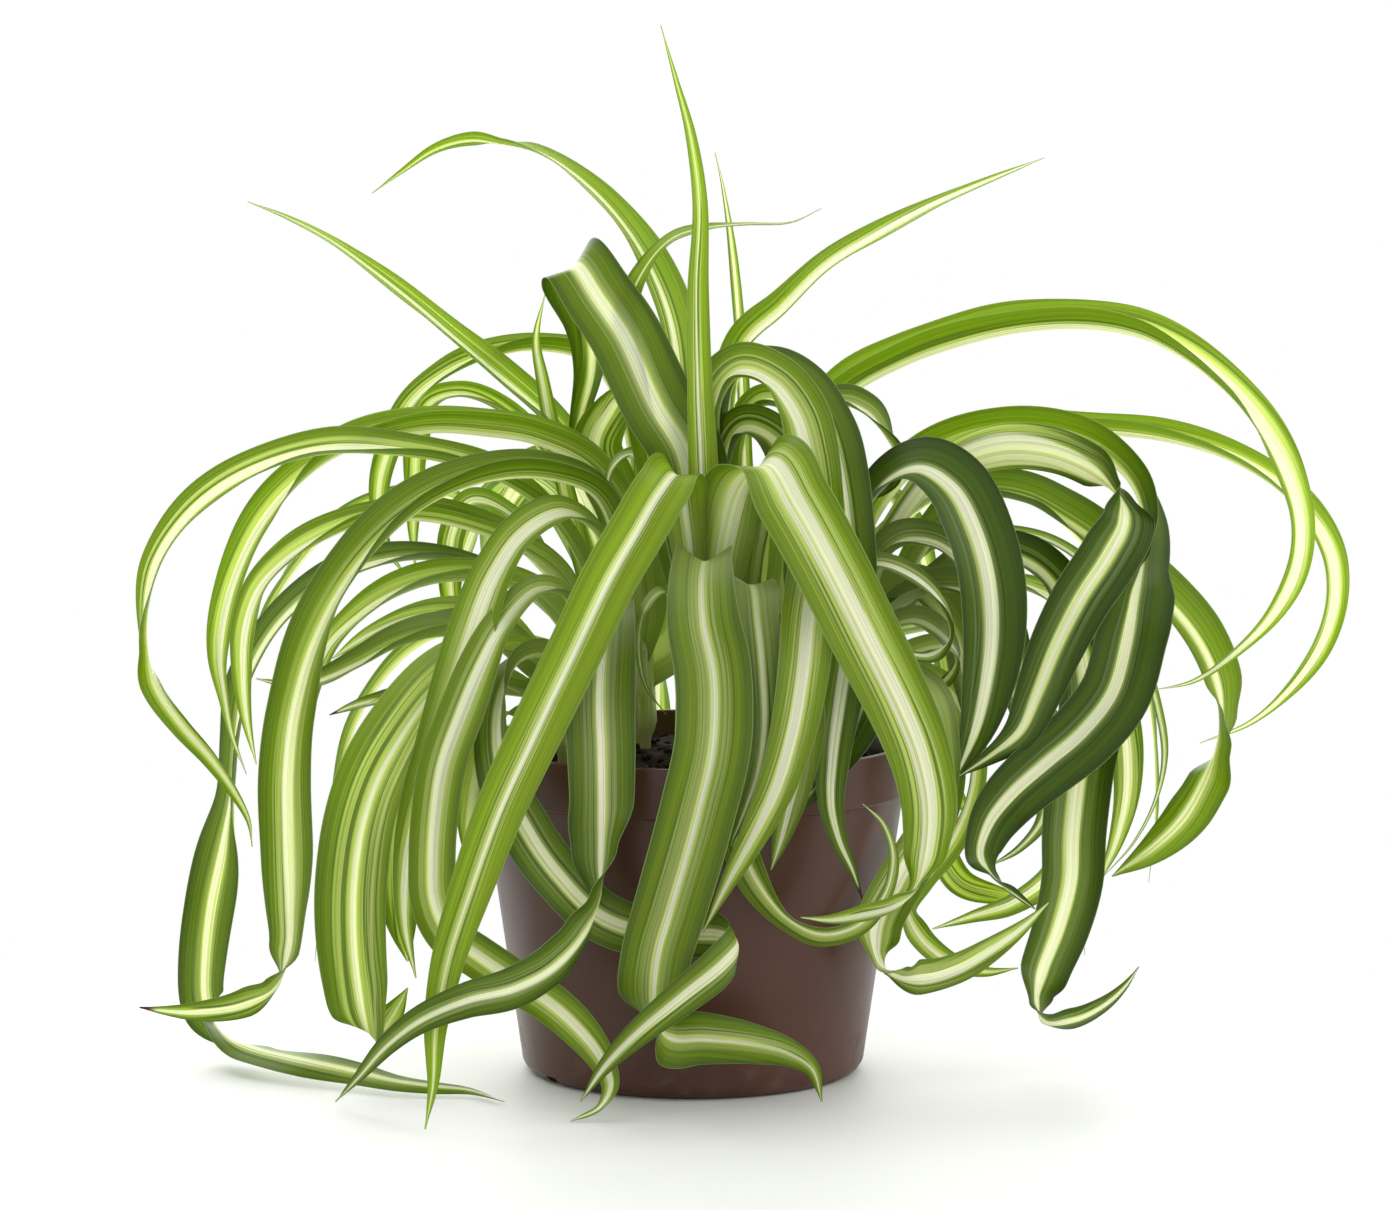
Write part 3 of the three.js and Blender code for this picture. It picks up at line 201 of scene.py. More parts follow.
# Route points are (across, up, near, facing). Across and up are read on the upright plane through the
# pot's axis, and near is how far the point lies from that plane towards the camera. Facing is the turn
# of the blade about its route: 0 shows the upper face to the camera and 180 the underside.
ROSETTES = {
    "front": {
        "across": 4, "near": 26, "height": 64,
        "leaves": [
            leaf("spike", 11, [
                (4, 120, 27, 20), (3, 150, 28), (2.5, 180, 28, 20), (1.5, 205, 27), (1, 235, 24),
                (1.8, 260, 22, 30), (-0.8, 280, 19), (-5, 296, 16), (-9.5, 312.5, 14, 30)],
                taper=2.4, shade=0.05, cream=(0.5, 0.2), lime=0.3),
            leaf("folded_back", 25, [
                (3, 130, 22, 25), (0, 165, 19), (-3, 186, 18, 15), (-11, 200, 17), (-20, 220, 13, 5),
                (-28, 232, 8), (-34, 241, 2), (-36, 239, -6), (-31, 226, -14), (-30, 211, -20),
                (-34, 195, -24), (-38, 181, -25)], fold=24, shade=0.6, cream=0.55, lime=0.16),
            leaf("top_left_arch", 23, [
                (-1, 115, 10, 50), (-3, 160, 5), (-4, 200, 3), (-7, 226, 1, 50), (-15, 245, -1),
                (-26, 260, -2, 60), (-38, 270.5, -4), (-47, 275.5, -5, 80), (-56, 277.5, -5, 95),
                (-66, 278.5, -5, 125), (-76, 276, -6), (-86, 269.5, -7), (-95, 263, -8, 130)],
                taper=2.4, shade=0.1, cream=(0.5, 0.2), lime=0.2),
            leaf("thin_arch", 10, [
                (-2, 118, 22, 40), (-10, 170, 19), (-17, 205, 14), (-19.5, 228, 10, -20), (-14, 241, 8),
                (-6, 249.5, 8, -60), (3, 252.5, 10), (15, 253.7, 10, -75), (29, 254.3, 10),
                (38, 258.5, 10, -75)], taper=3.4, shade=0.3, cream=0.3, lime=0.1),
            leaf("front_left", 18, [
                (1, 140, 31, 180), (-2, 165, 34, 180), (-5, 179, 38), (-10, 174, 45, 0), (-17, 162, 50),
                (-25, 148, 55, 0), (-36, 125, 62), (-48, 100, 70, 0), (-58, 78, 77), (-67, 53, 82),
                (-74, 31, 85), (-77.5, 12, 88, 10), (-78.5, -6, 92), (-81, -19.5, 96, 10)],
                taper=4.5, shade=0.15, cream=0.36, lime=0.16),
            leaf("front_right", 24, [
                (6, 138, 31, 180), (10, 160, 33, 180), (16, 178, 37), (23, 182, 43), (31, 170, 49, 0),
                (42, 150, 56, 0), (52, 130, 62), (62, 110, 66, 0), (68, 95, 68), (71, 80, 70, 0),
                (70.5, 66, 72, 20), (67, 54, 74, 80), (61, 49, 76, 120), (50, 46, 77, 140), (41, 44.7, 77),
                (32.5, 45.5, 76, 140)], shade=0.2, cream=0.78, lime=0.26),
            leaf("front_middle", 24, [
                (4, 128, 33, 180), (4, 143, 37, 180), (3.5, 153, 43), (2.5, 147, 52, 0), (3, 135, 59),
                (6, 120, 65, 0), (6.5, 108, 70.5), (5.5, 95, 76, 0), (2, 80, 79), (-2, 65, 81, 0),
                (-7, 48, 81.5), (-11, 34, 81, 0), (-12, 22, 80.5), (-11, 12.5, 77.5), (-6, 8.5, 73),
                (3, 8.5, 71, 180), (18, 6.8, 70, 180), (29, 3.8, 68), (36, -1, 66), (39, -11, 63, 180)],
                taper=5.5, shade=0.55, cream=0.34, lime=0.36),
            leaf("pale_arch_right", 21, [
                (8, 110, 18, -60), (9, 150, 15), (8, 181, 14), (8, 201, 13, -60), (14, 209, 15),
                (23, 206, 18, -50), (30, 197, 22, -35), (33.5, 186, 28), (36, 170, 37, -10),
                (36.5, 152, 45), (34.5, 136, 54, 0), (33, 120, 62), (30, 102, 70, 0), (25, 85, 76),
                (18, 70, 79), (10.5, 56, 80, 0), (3, 41, 81)], fold=36, shade=0.3, cream=0.75, lime=0.3),
            leaf("dark_arch_right", 20, [
                (9, 110, 6, -70), (11, 150, 0), (10, 188, -1), (13, 208, 0, -75), (22, 211, 2),
                (32, 206.5, 8, -60), (39, 194, 15), (43, 179, 24, -20), (45.5, 162, 33), (47, 145, 41, 0),
                (46.5, 128, 49), (44, 110, 56, 0), (42, 94, 61), (41.5, 80, 63, 0), (44, 69, 63),
                (48, 60, 63), (51, 51, 61, 10)], shade=0.7, cream=0.7, lime=0.14, dry=0.1),
            leaf("small_curl", 6, [
                (0, 118, 30, 140), (-4, 136, 34, 100), (-9, 144, 38, 70), (-14, 139, 41),
                (-16, 128, 43, 60), (-14, 116, 44), (-8, 107, 44, 60)], taper=3),
            leaf("dark_beside_middle", 15, [
                (10, 118, 34, 180), (13, 138, 39, 180), (17, 146, 46), (19, 134, 54, 0), (20.5, 118, 61),
                (21, 103, 67, 0), (19, 89, 71), (15, 77, 73), (11, 67, 74, 0)], shade=0.8, cream=0.4),
            leaf("low_arch_right", 19, [
                (10, 110, 15, -60), (11, 155, 10), (11, 184, 9, -60), (15, 192, 10), (22, 190, 13, -45),
                (28, 181, 18), (31, 168, 24, -20), (32, 152, 29), (31, 136, 34, 0)], fold=36),
            leaf("shaded_hanging", 15, [
                (11, 108, 26, 180), (19, 120, 34, 180), (26, 127, 43), (31, 118, 52, 0), (33, 105, 59),
                (31.5, 92, 64, 0), (29, 80, 66), (26, 68, 66), (23.5, 60, 65, 0)], shade=0.6, cream=0.5),
            leaf("curling_tip", 12, [
                (7, 112, 35, 180), (10, 128, 42, 180), (13, 132, 49), (14, 122, 55, 0), (13.5, 108, 60.5),
                (13, 94, 65.5, 0), (12.5, 80, 67), (15, 66, 67.5, 20), (21, 54, 68), (29, 45, 68, 60),
                (39, 40.5, 68, 50), (50, 43.5, 67, 50), (57.5, 52.5, 64, 60), (60, 64, 62, 50),
                (57, 74, 62), (51, 80, 64, 40)]),
            leaf("base_left", 16, [
                (1, 112, 14, 60), (-7, 142, 3), (-10, 168, 1, 70), (-14, 182, 0), (-19, 185, -1, 70),
                (-24, 181, -1), (-26, 174, -1, 40)], fold=36, base=0.7, clasp=36),
            leaf("base_right", 20, [
                (8, 110, 14, -50), (17, 138, 10), (21, 160, 8, -50), (25, 176, 7), (30, 181, 7, -60),
                (35, 177, 7), (37, 167, 8, -30)], fold=36, base=0.7, clasp=36),
            leaf("over_rim", 17, [
                (11, 108, 18, -70), (22, 128, 30), (36, 135, 38, -45), (48, 130, 43), (53, 118, 47, 0),
                (50, 106, 51), (44, 95, 55, 0), (37, 85, 58.5), (29, 76, 61)], shade=0.95, cream=0.05),
        ],
    },
    "left": {
        "across": -33, "near": 8, "height": 38,
        "leaves": [
            leaf("front_hanging", 26, [
                (-30, 108, 20, 180), (-27, 128, 31, 180), (-26, 138, 42), (-27, 128, 52, 0), (-28, 112, 60),
                (-27.5, 96, 68, 0), (-27.3, 82, 72, 0), (-27.3, 66, 75, 40), (-28.2, 51, 78, 88),
                (-33, 40, 81, 125), (-42, 30, 85, 148), (-54, 23.5, 91, 165), (-68, 20, 98, 170),
                (-81, 14.5, 97), (-92, 6.5, 88, 165), (-101, -3.5, 76), (-108, -11, 62, 160)],
                taper=1.8, base=0.4, shade=0.7, cream=0.36, lime=0.42),
            leaf("loop_before_pot", 17, [
                (-36, 106, 22, 160), (-44, 124, 32), (-53, 122, 42, 90), (-58, 106, 49, 50),
                (-56, 87, 55, 30), (-49, 71, 61, 10), (-40, 58, 65), (-28, 46, 67, 0), (-14, 41, 67),
                (0, 40.5, 68.5, 0), (9, 40, 72), (13.5, 37, 79), (9, 31, 87), (-2, 22, 91, 180),
                (-16, 10.5, 91), (-26, 0.5, 86, 180), (-34, -11, 76, 180)], shade=0.6, cream=0.7, lime=0.25),
            leaf("wide_arch", 20, [
                (-30, 108, 2, 90), (-26, 135, 2), (-24, 158, 6, 95), (-30, 173, 10), (-44, 178, 14, 80),
                (-60, 177.5, 17), (-76, 172, 20, 65), (-90, 162, 22), (-103, 147, 24, 40), (-113, 128, 25),
                (-119, 108, 26, 15), (-121.5, 88, 27), (-121.5, 68, 28, 10), (-121, 50, 29),
                (-121.5, 36, 30, 50), (-126, 24, 31, 110), (-136, 18.5, 32, 150), (-150, 16.5, 33, 160),
                (-160, 17, 33), (-167, 18, 33, 160)],
                fold=48, taper=7, shade=0.35, cream=0.55, lime=0.3, dry=0.08),
            leaf("long_arch", 19, [
                (-34, 108, -4, 90), (-27, 140, -8), (-22, 165, -10, 90), (-32, 181, -11),
                (-47, 188.5, -12, 85), (-62, 191, -14), (-76, 192, -17, 80), (-91, 190, -21),
                (-105, 185.5, -24, 70), (-118, 176.5, -25), (-128, 165, -24, 45), (-135.5, 151, -22),
                (-140, 137, -20, 40), (-141.5, 124, -18), (-140, 112, -16, 60), (-138, 101, -14),
                (-134, 89, -12, 60)], fold=55, shade=0.1, cream=0.72, lime=0.28),
            leaf("outer_arch", 16, [
                (-34, 112, 0, 90), (-30, 140, -2), (-40, 163, -5, 85), (-55, 176, -7), (-72, 182.5, -9, 70),
                (-90, 185.5, -10), (-108, 186, -11, 55), (-124, 182.5, -11), (-139, 175.5, -11, 45),
                (-151, 165.5, -11), (-159.5, 153, -11, 55), (-163, 140, -11), (-163.5, 128, -11, 95),
                (-161, 115.5, -10, 130), (-153.5, 104, -9), (-145, 94, -8, 145), (-138, 84, -7),
                (-133.5, 75, -7), (-132.5, 67, -6, 140)], fold=40, shade=0.1, cream=0.8, lime=0.22),
            leaf("pale_arch", 16, [
                (-36, 108, 0, 90), (-34, 130, 0), (-40, 147, 1, 85), (-52, 156.5, 2), (-66, 162.5, 3, 75),
                (-80, 165.5, 3), (-95, 165, 3, 70), (-108, 161, 3), (-120, 154, 2, 55), (-129, 145, 1),
                (-133.5, 133, 1, 40), (-134.5, 118, 0), (-133.5, 105, 0), (-131, 92, 0, 40)],
                fold=50, shade=0.1, cream=0.9, lime=0.3),
            leaf("grey_hanging", 17, [
                (-30, 108, 12, 110), (-27, 138, 14), (-28, 160, 19, 95), (-38, 167, 25), (-50, 161, 31, 50),
                (-59, 148, 35), (-65, 133, 38, 25), (-71, 115, 41), (-77, 96, 43, 10), (-82.5, 78, 44),
                (-86, 60, 45, 10), (-86.5, 43, 46), (-83.5, 27, 47, 20)], shade=0.35, cream=0.75, lime=0.36),
            leaf("front_loop", 15, [
                (-36, 108, 14, 110), (-37, 126, 22), (-38, 142, 30, 95), (-46, 144, 37), (-56, 134, 43, 50),
                (-63, 121, 47), (-69, 107, 50, 15), (-74.5, 92, 52), (-77, 77, 54, 10), (-78, 63, 56),
                (-77.5, 51, 58, 10), (-73, 41, 60, 30), (-64, 34, 62), (-54, 27, 64, 20), (-44, 20.5, 67),
                (-35, 12.5, 70, 15), (-27.5, 3, 73), (-24.5, -6, 76, 40), (-28, -13, 78, 60),
                (-37, -17, 80, 40)], taper=9, shade=0.3, cream=0.75, lime=0.2),
            leaf("broad_hanging", 23, [
                (-38, 106, 8, 120), (-44, 120, 12), (-55, 127, 18, 85), (-67, 123, 24), (-78, 114, 28, 40),
                (-87, 102, 31), (-95, 88, 34, 15), (-100, 73, 36), (-102.5, 57, 38, 5), (-103, 41, 40),
                (-102, 27, 42, 0), (-100, 16, 42.5), (-97.5, 10, 38), (-94, 11.5, 31, 180), (-90, 17, 26),
                (-86, 24, 23, 180)], taper=8, shade=(0.15, 0.4), cream=0.24, lime=0.6),
            leaf("shaded_left", 15, [
                (-42, 101, 14, 110), (-49, 106, 21), (-57, 107, 29, 70), (-62, 99, 33), (-65, 87, 36, 10),
                (-67, 74, 38), (-68, 62, 39, 10)]),
            leaf("low_left", 16, [
                (-40, 104, 2, 90), (-48, 118, 2), (-60, 128, 3, 85), (-74, 131, 4), (-88, 128, 5, 60),
                (-100, 122, 6), (-112, 117, 7, 60), (-122, 116, 8), (-131, 118, 9, 60)],
                fold=45, shade=0.5, cream=0.6, lime=0.2),
            leaf("low_middle", 14, [
                (-37, 105, -5, 90), (-46, 122, -6), (-58, 134, -6, 80), (-70, 137, -6), (-84, 136, -6, 60),
                (-97, 131, -6), (-108, 124, -6, 50)], fold=45),
            leaf("low_front", 13, [
                (-38, 104, 4, 100), (-47, 112, 1), (-59, 117, -1, 80), (-72, 117, -2), (-86, 114, -3, 60),
                (-98, 110, -4)], fold=45),
            leaf("pale_hanging", 17, [
                (-39, 106, 14, 100), (-48, 114, 14), (-60, 116, 14, 80), (-72, 109, 15, 50), (-80, 96, 17),
                (-85, 82, 20, 20), (-88, 66, 23), (-88, 48, 25, 10), (-86, 32, 27)],
                taper=8, shade=0.2, cream=0.85, lime=0.25),
        ],
    },
    "right": {
        "across": 37, "near": 3, "height": 38,
        "leaves": [
            leaf("dark_arch", 22, [
                (38, 108, 6, -90), (42, 138, 6), (49, 163, 8, -80), (58, 177, 10), (68, 181, 14, -50),
                (78, 175, 20), (85, 162, 25, -15), (89, 147, 28), (90, 132, 30, -5), (88.5, 117, 31),
                (85, 102, 31, 0), (79, 88, 30)], taper=8, shade=1.2, cream=0.6, lime=0.14),
            leaf("inner_arch", 24, [
                (40, 108, -6, -90), (46, 138, -10), (54, 164, -12, -100), (66, 180, -13),
                (80, 188, -14, -108), (95, 191, -13), (109, 189.5, -12, -106), (121, 185, -10),
                (130, 177, -7, -96), (134.5, 166, -3), (134, 154, 1, -72), (132, 141, 5, -32),
                (130, 127, 9, -5), (126, 113, 12), (117, 101, 15, 0), (106, 91.5, 18), (96, 82.5, 20, 0),
                (89, 73.5, 21), (86.5, 64.5, 22, -30), (90, 58, 23, -80), (97, 52.5, 24, -120),
                (103, 48, 24, -140)], fold=32, taper=9, shade=(0.1, 1.1), cream=(0.8, 0.45), lime=0.16),
            leaf("pale_arch", 20, [
                (43, 108, 0, -90), (52, 138, 0), (62, 163, 0, -100), (76, 179, 0), (91, 185, 0, -137),
                (105, 184.5, 1), (117, 180, 3, -135), (126.5, 173, 6, -90), (128.5, 165, 11, -32),
                (124.5, 155.5, 15, -5), (116, 142, 17), (109, 128, 18, 0), (103, 113, 19),
                (98, 102, 19, -15), (90, 95.5, 19, -40), (79, 88, 18, -50)],
                taper=8, shade=(0.1, 1.05), cream=(1.9, 0.6), lime=0.26),
            leaf("long_hanging", 20, [
                (46, 108, -4, -90), (58, 135, -8), (72, 160, -12, -80), (86, 172.5, -14),
                (99, 171.5, -15, -60), (110, 165.5, -16), (121, 158, -16, -45), (132, 149.5, -16),
                (142, 140, -15, -45), (150.5, 129.5, -14), (156, 118, -13, -50), (158, 107, -12, -75),
                (157, 97, -11, -100), (153, 86, -10, -145), (147, 75.5, -9, -160), (138, 66.5, -8),
                (126, 58, -7, -150)], fold=36, taper=11, shade=0.3, cream=0.5, lime=0.2),
            leaf("striped_low", 22, [
                (45, 106, 6, -90), (58, 128, 2), (72, 146, -1, -80), (88, 155, -3), (102, 151, -4, -60),
                (112, 138, -5), (117.5, 120, -5, -20), (118, 103, -4), (116, 87, 0, 0), (114.5, 71, 4),
                (114, 56, 8, 0), (110.5, 42, 11), (106, 30, 12, -10), (103.5, 20, 13, -60),
                (106, 13.5, 14, -110), (115, 14, 14, -130), (124, 18.5, 14), (130, 24, 14, -130),
                (134.5, 30.5, 14)], taper=6, shade=0.85, cream=0.6, lime=0.3),
            leaf("shaded_right", 18, [
                (42, 106, 12, -90), (50, 112, 24), (60, 118, 30, -70), (69, 112, 33), (73, 99, 34, -10),
                (75, 86, 34), (72, 74, 33, 0)]),
            leaf("rolled_tip", 12, [
                (33, 106, 16, -90), (36, 130, 24), (43, 146, 29, -90), (54, 152, 32), (66, 148, 34, -60),
                (75, 139, 35), (77, 130, 36, -90), (71, 125, 38, -140), (63, 126, 40), (57, 129, 41, -140)]),
            leaf("shaded_arch", 17, [
                (42, 104, 10, -90), (52, 124, 12), (62, 139, 12, -75), (74, 144.5, 12), (86, 142, 11, -55),
                (94, 134, 11), (98, 122, 11, -40), (99, 109, 10)], fold=36),
            leaf("hooked_back", 23, [
                (33, 108, -6, -90), (34, 150, -8), (36, 188, -9, -90), (43, 200, -9), (51, 198, -8, -70),
                (58, 190, -6), (61, 183, -4, -100), (57, 176, -2, -140), (50, 171, 0, -150)], fold=36),
            leaf("fan_upper", 18, [
                (37, 108, 9, -90), (46, 128, 15), (54, 148, 17, -80), (62, 158, 18), (72, 158, 18, -60),
                (81, 151, 18), (88, 139, 17, -30), (92, 125, 16)], fold=36),
            leaf("fan_curl", 15, [
                (38, 104, 11, -90), (45, 116, 20), (55, 130, 27, -80), (66, 135, 29), (74, 131, 29, -60),
                (79, 124, 27, -90), (75, 117, 26, -130), (68, 115, 25)]),
            leaf("under_arch", 14, [
                (42, 105, -8, -90), (58, 122, -14), (77, 127, -18, -70), (94, 115, -18),
                (104, 95, -16, -20), (105, 77, -13), (98, 67, -10, -60), (89, 61, -8)]),
            leaf("inner_upright", 20, [
                (39, 108, -1, -60), (47, 128, 1), (57, 141, 3, -60), (67, 143, 5), (76, 134, 7, -40),
                (82, 118, 8), (84, 100, 8, -20)], fold=36, base=0.7, clasp=36),
        ],
    },
    "back_left": {
        "across": -20, "near": -32, "height": 38,
        "leaves": [
            leaf("straight_left", 19, [
                (-22, 112, -30, 70), (-24, 145, -34), (-30, 175, -37, 70), (-43, 194, -38),
                (-58, 208, -38, 62), (-70, 218.5, -38), (-82, 229, -38, 62), (-95, 239.5, -38),
                (-108, 249, -38, 65), (-120, 255.5, -38), (-132, 260.5, -38, 65)],
                fold=34, taper=3, shade=0.0, cream=(0.8, 0.4), lime=0.06),
            leaf("ground_leaf", 18, [
                (-27, 110, -33, 90), (-42, 136, -33), (-60, 149, -34, 85), (-82, 154, -35),
                (-104, 149, -36, 60), (-122, 136, -36), (-133, 118, -34, 65), (-136.5, 100, -32),
                (-138, 84, -29, 75), (-141, 67, -26), (-145, 50, -22, 8), (-147, 34, -18),
                (-147, 20, -12, 22), (-143, 11, -3, 88), (-133, 5.5, 14, 125), (-118, 1.8, 27),
                (-103, -1.5, 36, 140), (-90, -4.6, 44), (-78, -6.3, 46, 130), (-68, -7.4, 47),
                (-57, -11, 58, 120)], taper=5, shade=0.55, cream=0.6, lime=0.2),
            leaf("far_arch", 15, [
                (-20, 113, -36, 90), (-20, 150, -41), (-20, 190, -45, 85), (-30, 212, -47),
                (-46, 216.5, -48, 80), (-60, 214.5, -49), (-73, 209, -49, 60), (-83, 201, -49),
                (-89, 190, -48, 30), (-93, 178, -47), (-93.5, 167, -46, 15), (-91, 157, -45),
                (-86, 149, -44, 15)], fold=50),
            leaf("far_hanging", 13, [
                (-24, 113, -40, 90), (-32, 150, -46), (-44, 184, -50, 85), (-57, 198, -52),
                (-69, 203, -53, 60), (-78.5, 200, -53), (-82, 189, -52, 20), (-83, 176, -51),
                (-83.5, 163, -50, 15), (-83, 151, -49)], fold=40),
            leaf("small_spike", 9, [
                (-24, 113, -31, 40), (-33, 150, -31), (-41, 185, -31, 40), (-45, 207, -32),
                (-46.8, 220, -33, 30), (-44, 233, -34)], taper=3.4),
            leaf("inner_arch", 16, [
                (-28, 110, -24, 90), (-36, 128, -22), (-48, 142, -20, 80), (-62, 147, -19),
                (-76, 147, -18, 65), (-89, 143, -17), (-100, 136, -16, 50), (-109, 127, -15),
                (-114, 114, -14), (-115, 100, -13, 30)], fold=50),
            leaf("low_dry", 14, [
                (-30, 107, -28, 90), (-44, 112, -26), (-60, 113.5, -24, 70), (-75, 113, -22),
                (-89, 112, -20, 60), (-100, 110, -18), (-109, 107, -17, 50)],
                fold=45, shade=0.5, cream=0.7, dry=0.2),
            leaf("upright_inner", 18, [
                (-15, 112, -26, 20), (-16, 140, -26), (-22, 168, -24, 20), (-29, 188, -23),
                (-24, 199, -22, 10), (-17, 208, -22)], taper=9),
            leaf("dark_hanging", 11, [
                (-26, 112, -38, 90), (-40, 145, -41), (-55, 167, -43, 70), (-66, 171, -45),
                (-71.5, 162, -45, 20), (-72.5, 148, -45), (-71, 133, -45, 10), (-68, 119, -44)]),
            leaf("back_fan_left", 17, [
                (-26, 112, -44, 90), (-45, 150, -62), (-72, 172, -84, 90), (-100, 168, -104),
                (-122, 146, -118, 90), (-134, 114, -126), (-138, 80, -130, 90), (-137, 55, -132)]),
            leaf("back_fan_middle_left", 18, [
                (-21, 113, -46), (-27, 155, -72, 10), (-38, 180, -104), (-52, 176, -134, 10),
                (-62, 152, -152), (-69, 118, -160, 170), (-73, 82, -162), (-74, 60, -163, 175)]),
            leaf("back_low_left", 16, [
                (-30, 109, -42, 90), (-52, 128, -62), (-78, 130, -80, 90), (-98, 110, -92),
                (-108, 80, -98, 90), (-112, 50, -100), (-114, 32, -100, 90)]),
            leaf("centre_back", 23, [
                (-15, 112, -38, 0), (-5, 132, -42), (-5, 165, -50, 0), (-6, 187, -64), (-10, 192, -84, 5),
                (-15, 176, -102), (-18, 148, -112, 170)], fold=20, base=0.8, clasp=20, shade=0.8, cream=0.8),
            leaf("back_upper_left", 17, [
                (-24, 112, -42, 60), (-33, 148, -56), (-44, 172, -74, 60), (-56, 176, -94),
                (-66, 160, -110, 60), (-72, 134, -120), (-75, 106, -125, 90)]),
        ],
    },
    "back_right": {
        "across": 22, "near": -34, "height": 38,
        "leaves": [
            leaf("back_spike", 9, [
                (20, 113, -38, 60), (17, 150, -38), (14.5, 190, -36, 60), (13.5, 218, -33),
                (12.3, 236, -31, 50), (10.5, 253, -29), (8.3, 267, -28, 50), (6.5, 275, -27)], taper=3),
            leaf("straight_right", 19, [
                (18, 113, -27, -60), (12, 150, -23), (11, 190, -21, -60), (16, 217, -19),
                (27, 228, -18, -58), (40, 241, -17), (55, 250.5, -17, -58), (70, 258.8, -18),
                (85, 265.5, -19, -60), (104, 273.5, -20)],
                fold=34, taper=3, shade=0.05, cream=1.0, lime=0.12),
            leaf("big_arch", 23, [
                (26, 113, -34, -80), (28, 150, -33), (34, 184, -32, -80), (46, 202, -32),
                (62, 211.5, -32, -78), (80, 218, -31), (98, 222, -30, -78), (116, 223, -28),
                (132, 220.5, -26, -75), (146, 214, -23), (159, 204, -20, -60), (169, 192.5, -17),
                (176.5, 179, -14, -45), (180.5, 165, -11), (179.5, 151, -8, -45), (173, 137.5, -5),
                (162, 126, -3, -55), (150, 117.5, -2), (138, 114.5, -2, -60)],
                fold=54, taper=3, shade=0.0, cream=1.2, lime=0.16),
            leaf("second_arch", 16, [
                (30, 112, -36, -85), (42, 145, -40), (58, 172, -44, -80), (78, 187, -46),
                (98, 191.5, -46, -78), (120, 191.5, -45), (140, 189.5, -43, -75), (158, 184.5, -40),
                (172, 177, -37, -60), (183, 167, -34), (190, 155, -31, -45), (191.3, 142, -28),
                (187.5, 128, -27, -45), (179, 115.5, -26), (167, 105, -26, -60), (152, 98.5, -26)],
                fold=50, shade=0.0, cream=1.2, lime=0.16),
            leaf("thin_hanging", 8, [
                (32, 111, -30, -85), (52, 140, -30), (78, 160, -30, -80), (104, 160, -29),
                (123, 146, -28, -60), (133, 127, -27), (138.5, 110, -26, -65), (141, 95, -25),
                (138.5, 81, -24, -70), (132, 68, -23), (123, 57.5, -22)]),
            leaf("middle_arch", 15, [
                (20, 113, -31, -60), (18, 155, -29), (15, 188, -28, -75), (21, 200, -27),
                (30, 197, -26, -60), (37, 187, -25), (42, 173, -24, -30), (44, 158, -23),
                (44, 142, -22, -10)], fold=50),
            leaf("bright_hanging", 12, [
                (28, 110, -42, -90), (44, 135, -48), (60, 145, -50, -70), (71, 136, -50),
                (76, 118, -49, -30), (76.5, 100, -48), (78, 86, -47, -40), (84, 76, -46), (92, 74, -45)],
                shade=0.0, cream=0.2, lime=0.5),
            leaf("low_fold", 16, [
                (31, 108, -26, -90), (52, 119, -20), (69, 112, -8, -60), (74, 94, 6), (71, 75, 20, -30),
                (62, 57, 33), (55.5, 43, 42, -10), (55.5, 33, 44, -60), (61, 27.5, 42, -110),
                (70, 26.5, 38, -150), (80, 29.5, 33), (90, 35.5, 28, -160), (100, 43, 24), (107, 50, 21)],
                taper=6),
            leaf("low_sweep", 12, [
                (34, 108, -34, -90), (60, 122, -36), (78, 112, -32, -60), (84, 92, -26), (79, 72, -18, -60),
                (69, 58, -10), (64, 49, -4, -60), (68, 39.5, 0, -30), (77, 32, 2, -20), (88, 28.8, 2),
                (98, 30, 2, -30)], taper=6),
            leaf("lime_behind", 14, [
                (30, 107, -46, -90), (48, 110, -62), (62, 102, -70, -60), (70, 86, -72), (73, 68, -68, -40),
                (80, 56, -64), (92, 52, -60, -20), (104, 50, -56)], taper=6, shade=0.0, cream=0.0, lime=0.9),
            leaf("back_fan_right", 17, [
                (28, 112, -44, -90), (48, 150, -60), (76, 173, -80, -90), (104, 169, -98),
                (125, 146, -110, -90), (136, 114, -118), (139, 80, -122, -90), (137, 56, -124)]),
            leaf("back_fan_middle_right", 18, [
                (22, 113, -48), (26, 156, -74, 10), (34, 180, -106), (44, 174, -136, 10), (52, 148, -154),
                (56, 112, -162, 170), (58, 78, -164), (58, 58, -165, 175)]),
            leaf("back_middle", 17, [
                (14, 112, -46), (6, 152, -68, 10), (0, 172, -96), (-6, 160, -122, 10), (-10, 130, -138),
                (-12, 94, -144, 170), (-13, 60, -146), (-13, 38, -147, 175)]),
            leaf("back_low_right", 15, [
                (32, 109, -42, -90), (56, 130, -62), (82, 132, -80, -90), (102, 112, -92),
                (112, 82, -98, -90), (116, 52, -100), (118, 34, -100, -90)]),
            leaf("centre_back", 22, [
                (24, 112, -42, -30), (26, 148, -52), (28, 172, -64, -30), (33, 180, -80),
                (39, 168, -94, -20), (43, 144, -104), (45, 116, -109, -170)],
                fold=20, base=0.8, clasp=20, shade=0.8, cream=0.7),
            leaf("back_upper_right", 17, [
                (26, 111, -42, -60), (34, 146, -60), (45, 170, -82, -60), (57, 173, -104),
                (67, 157, -121, -60), (73, 131, -131), (75, 103, -135, -90)]),
            leaf("back_low_middle", 16, [
                (17, 109, -46), (13, 132, -66, 10), (9, 141, -88), (6, 124, -106, 10), (4, 96, -115),
                (3, 68, -118, 170)]),
            leaf("low_broad", 14, [
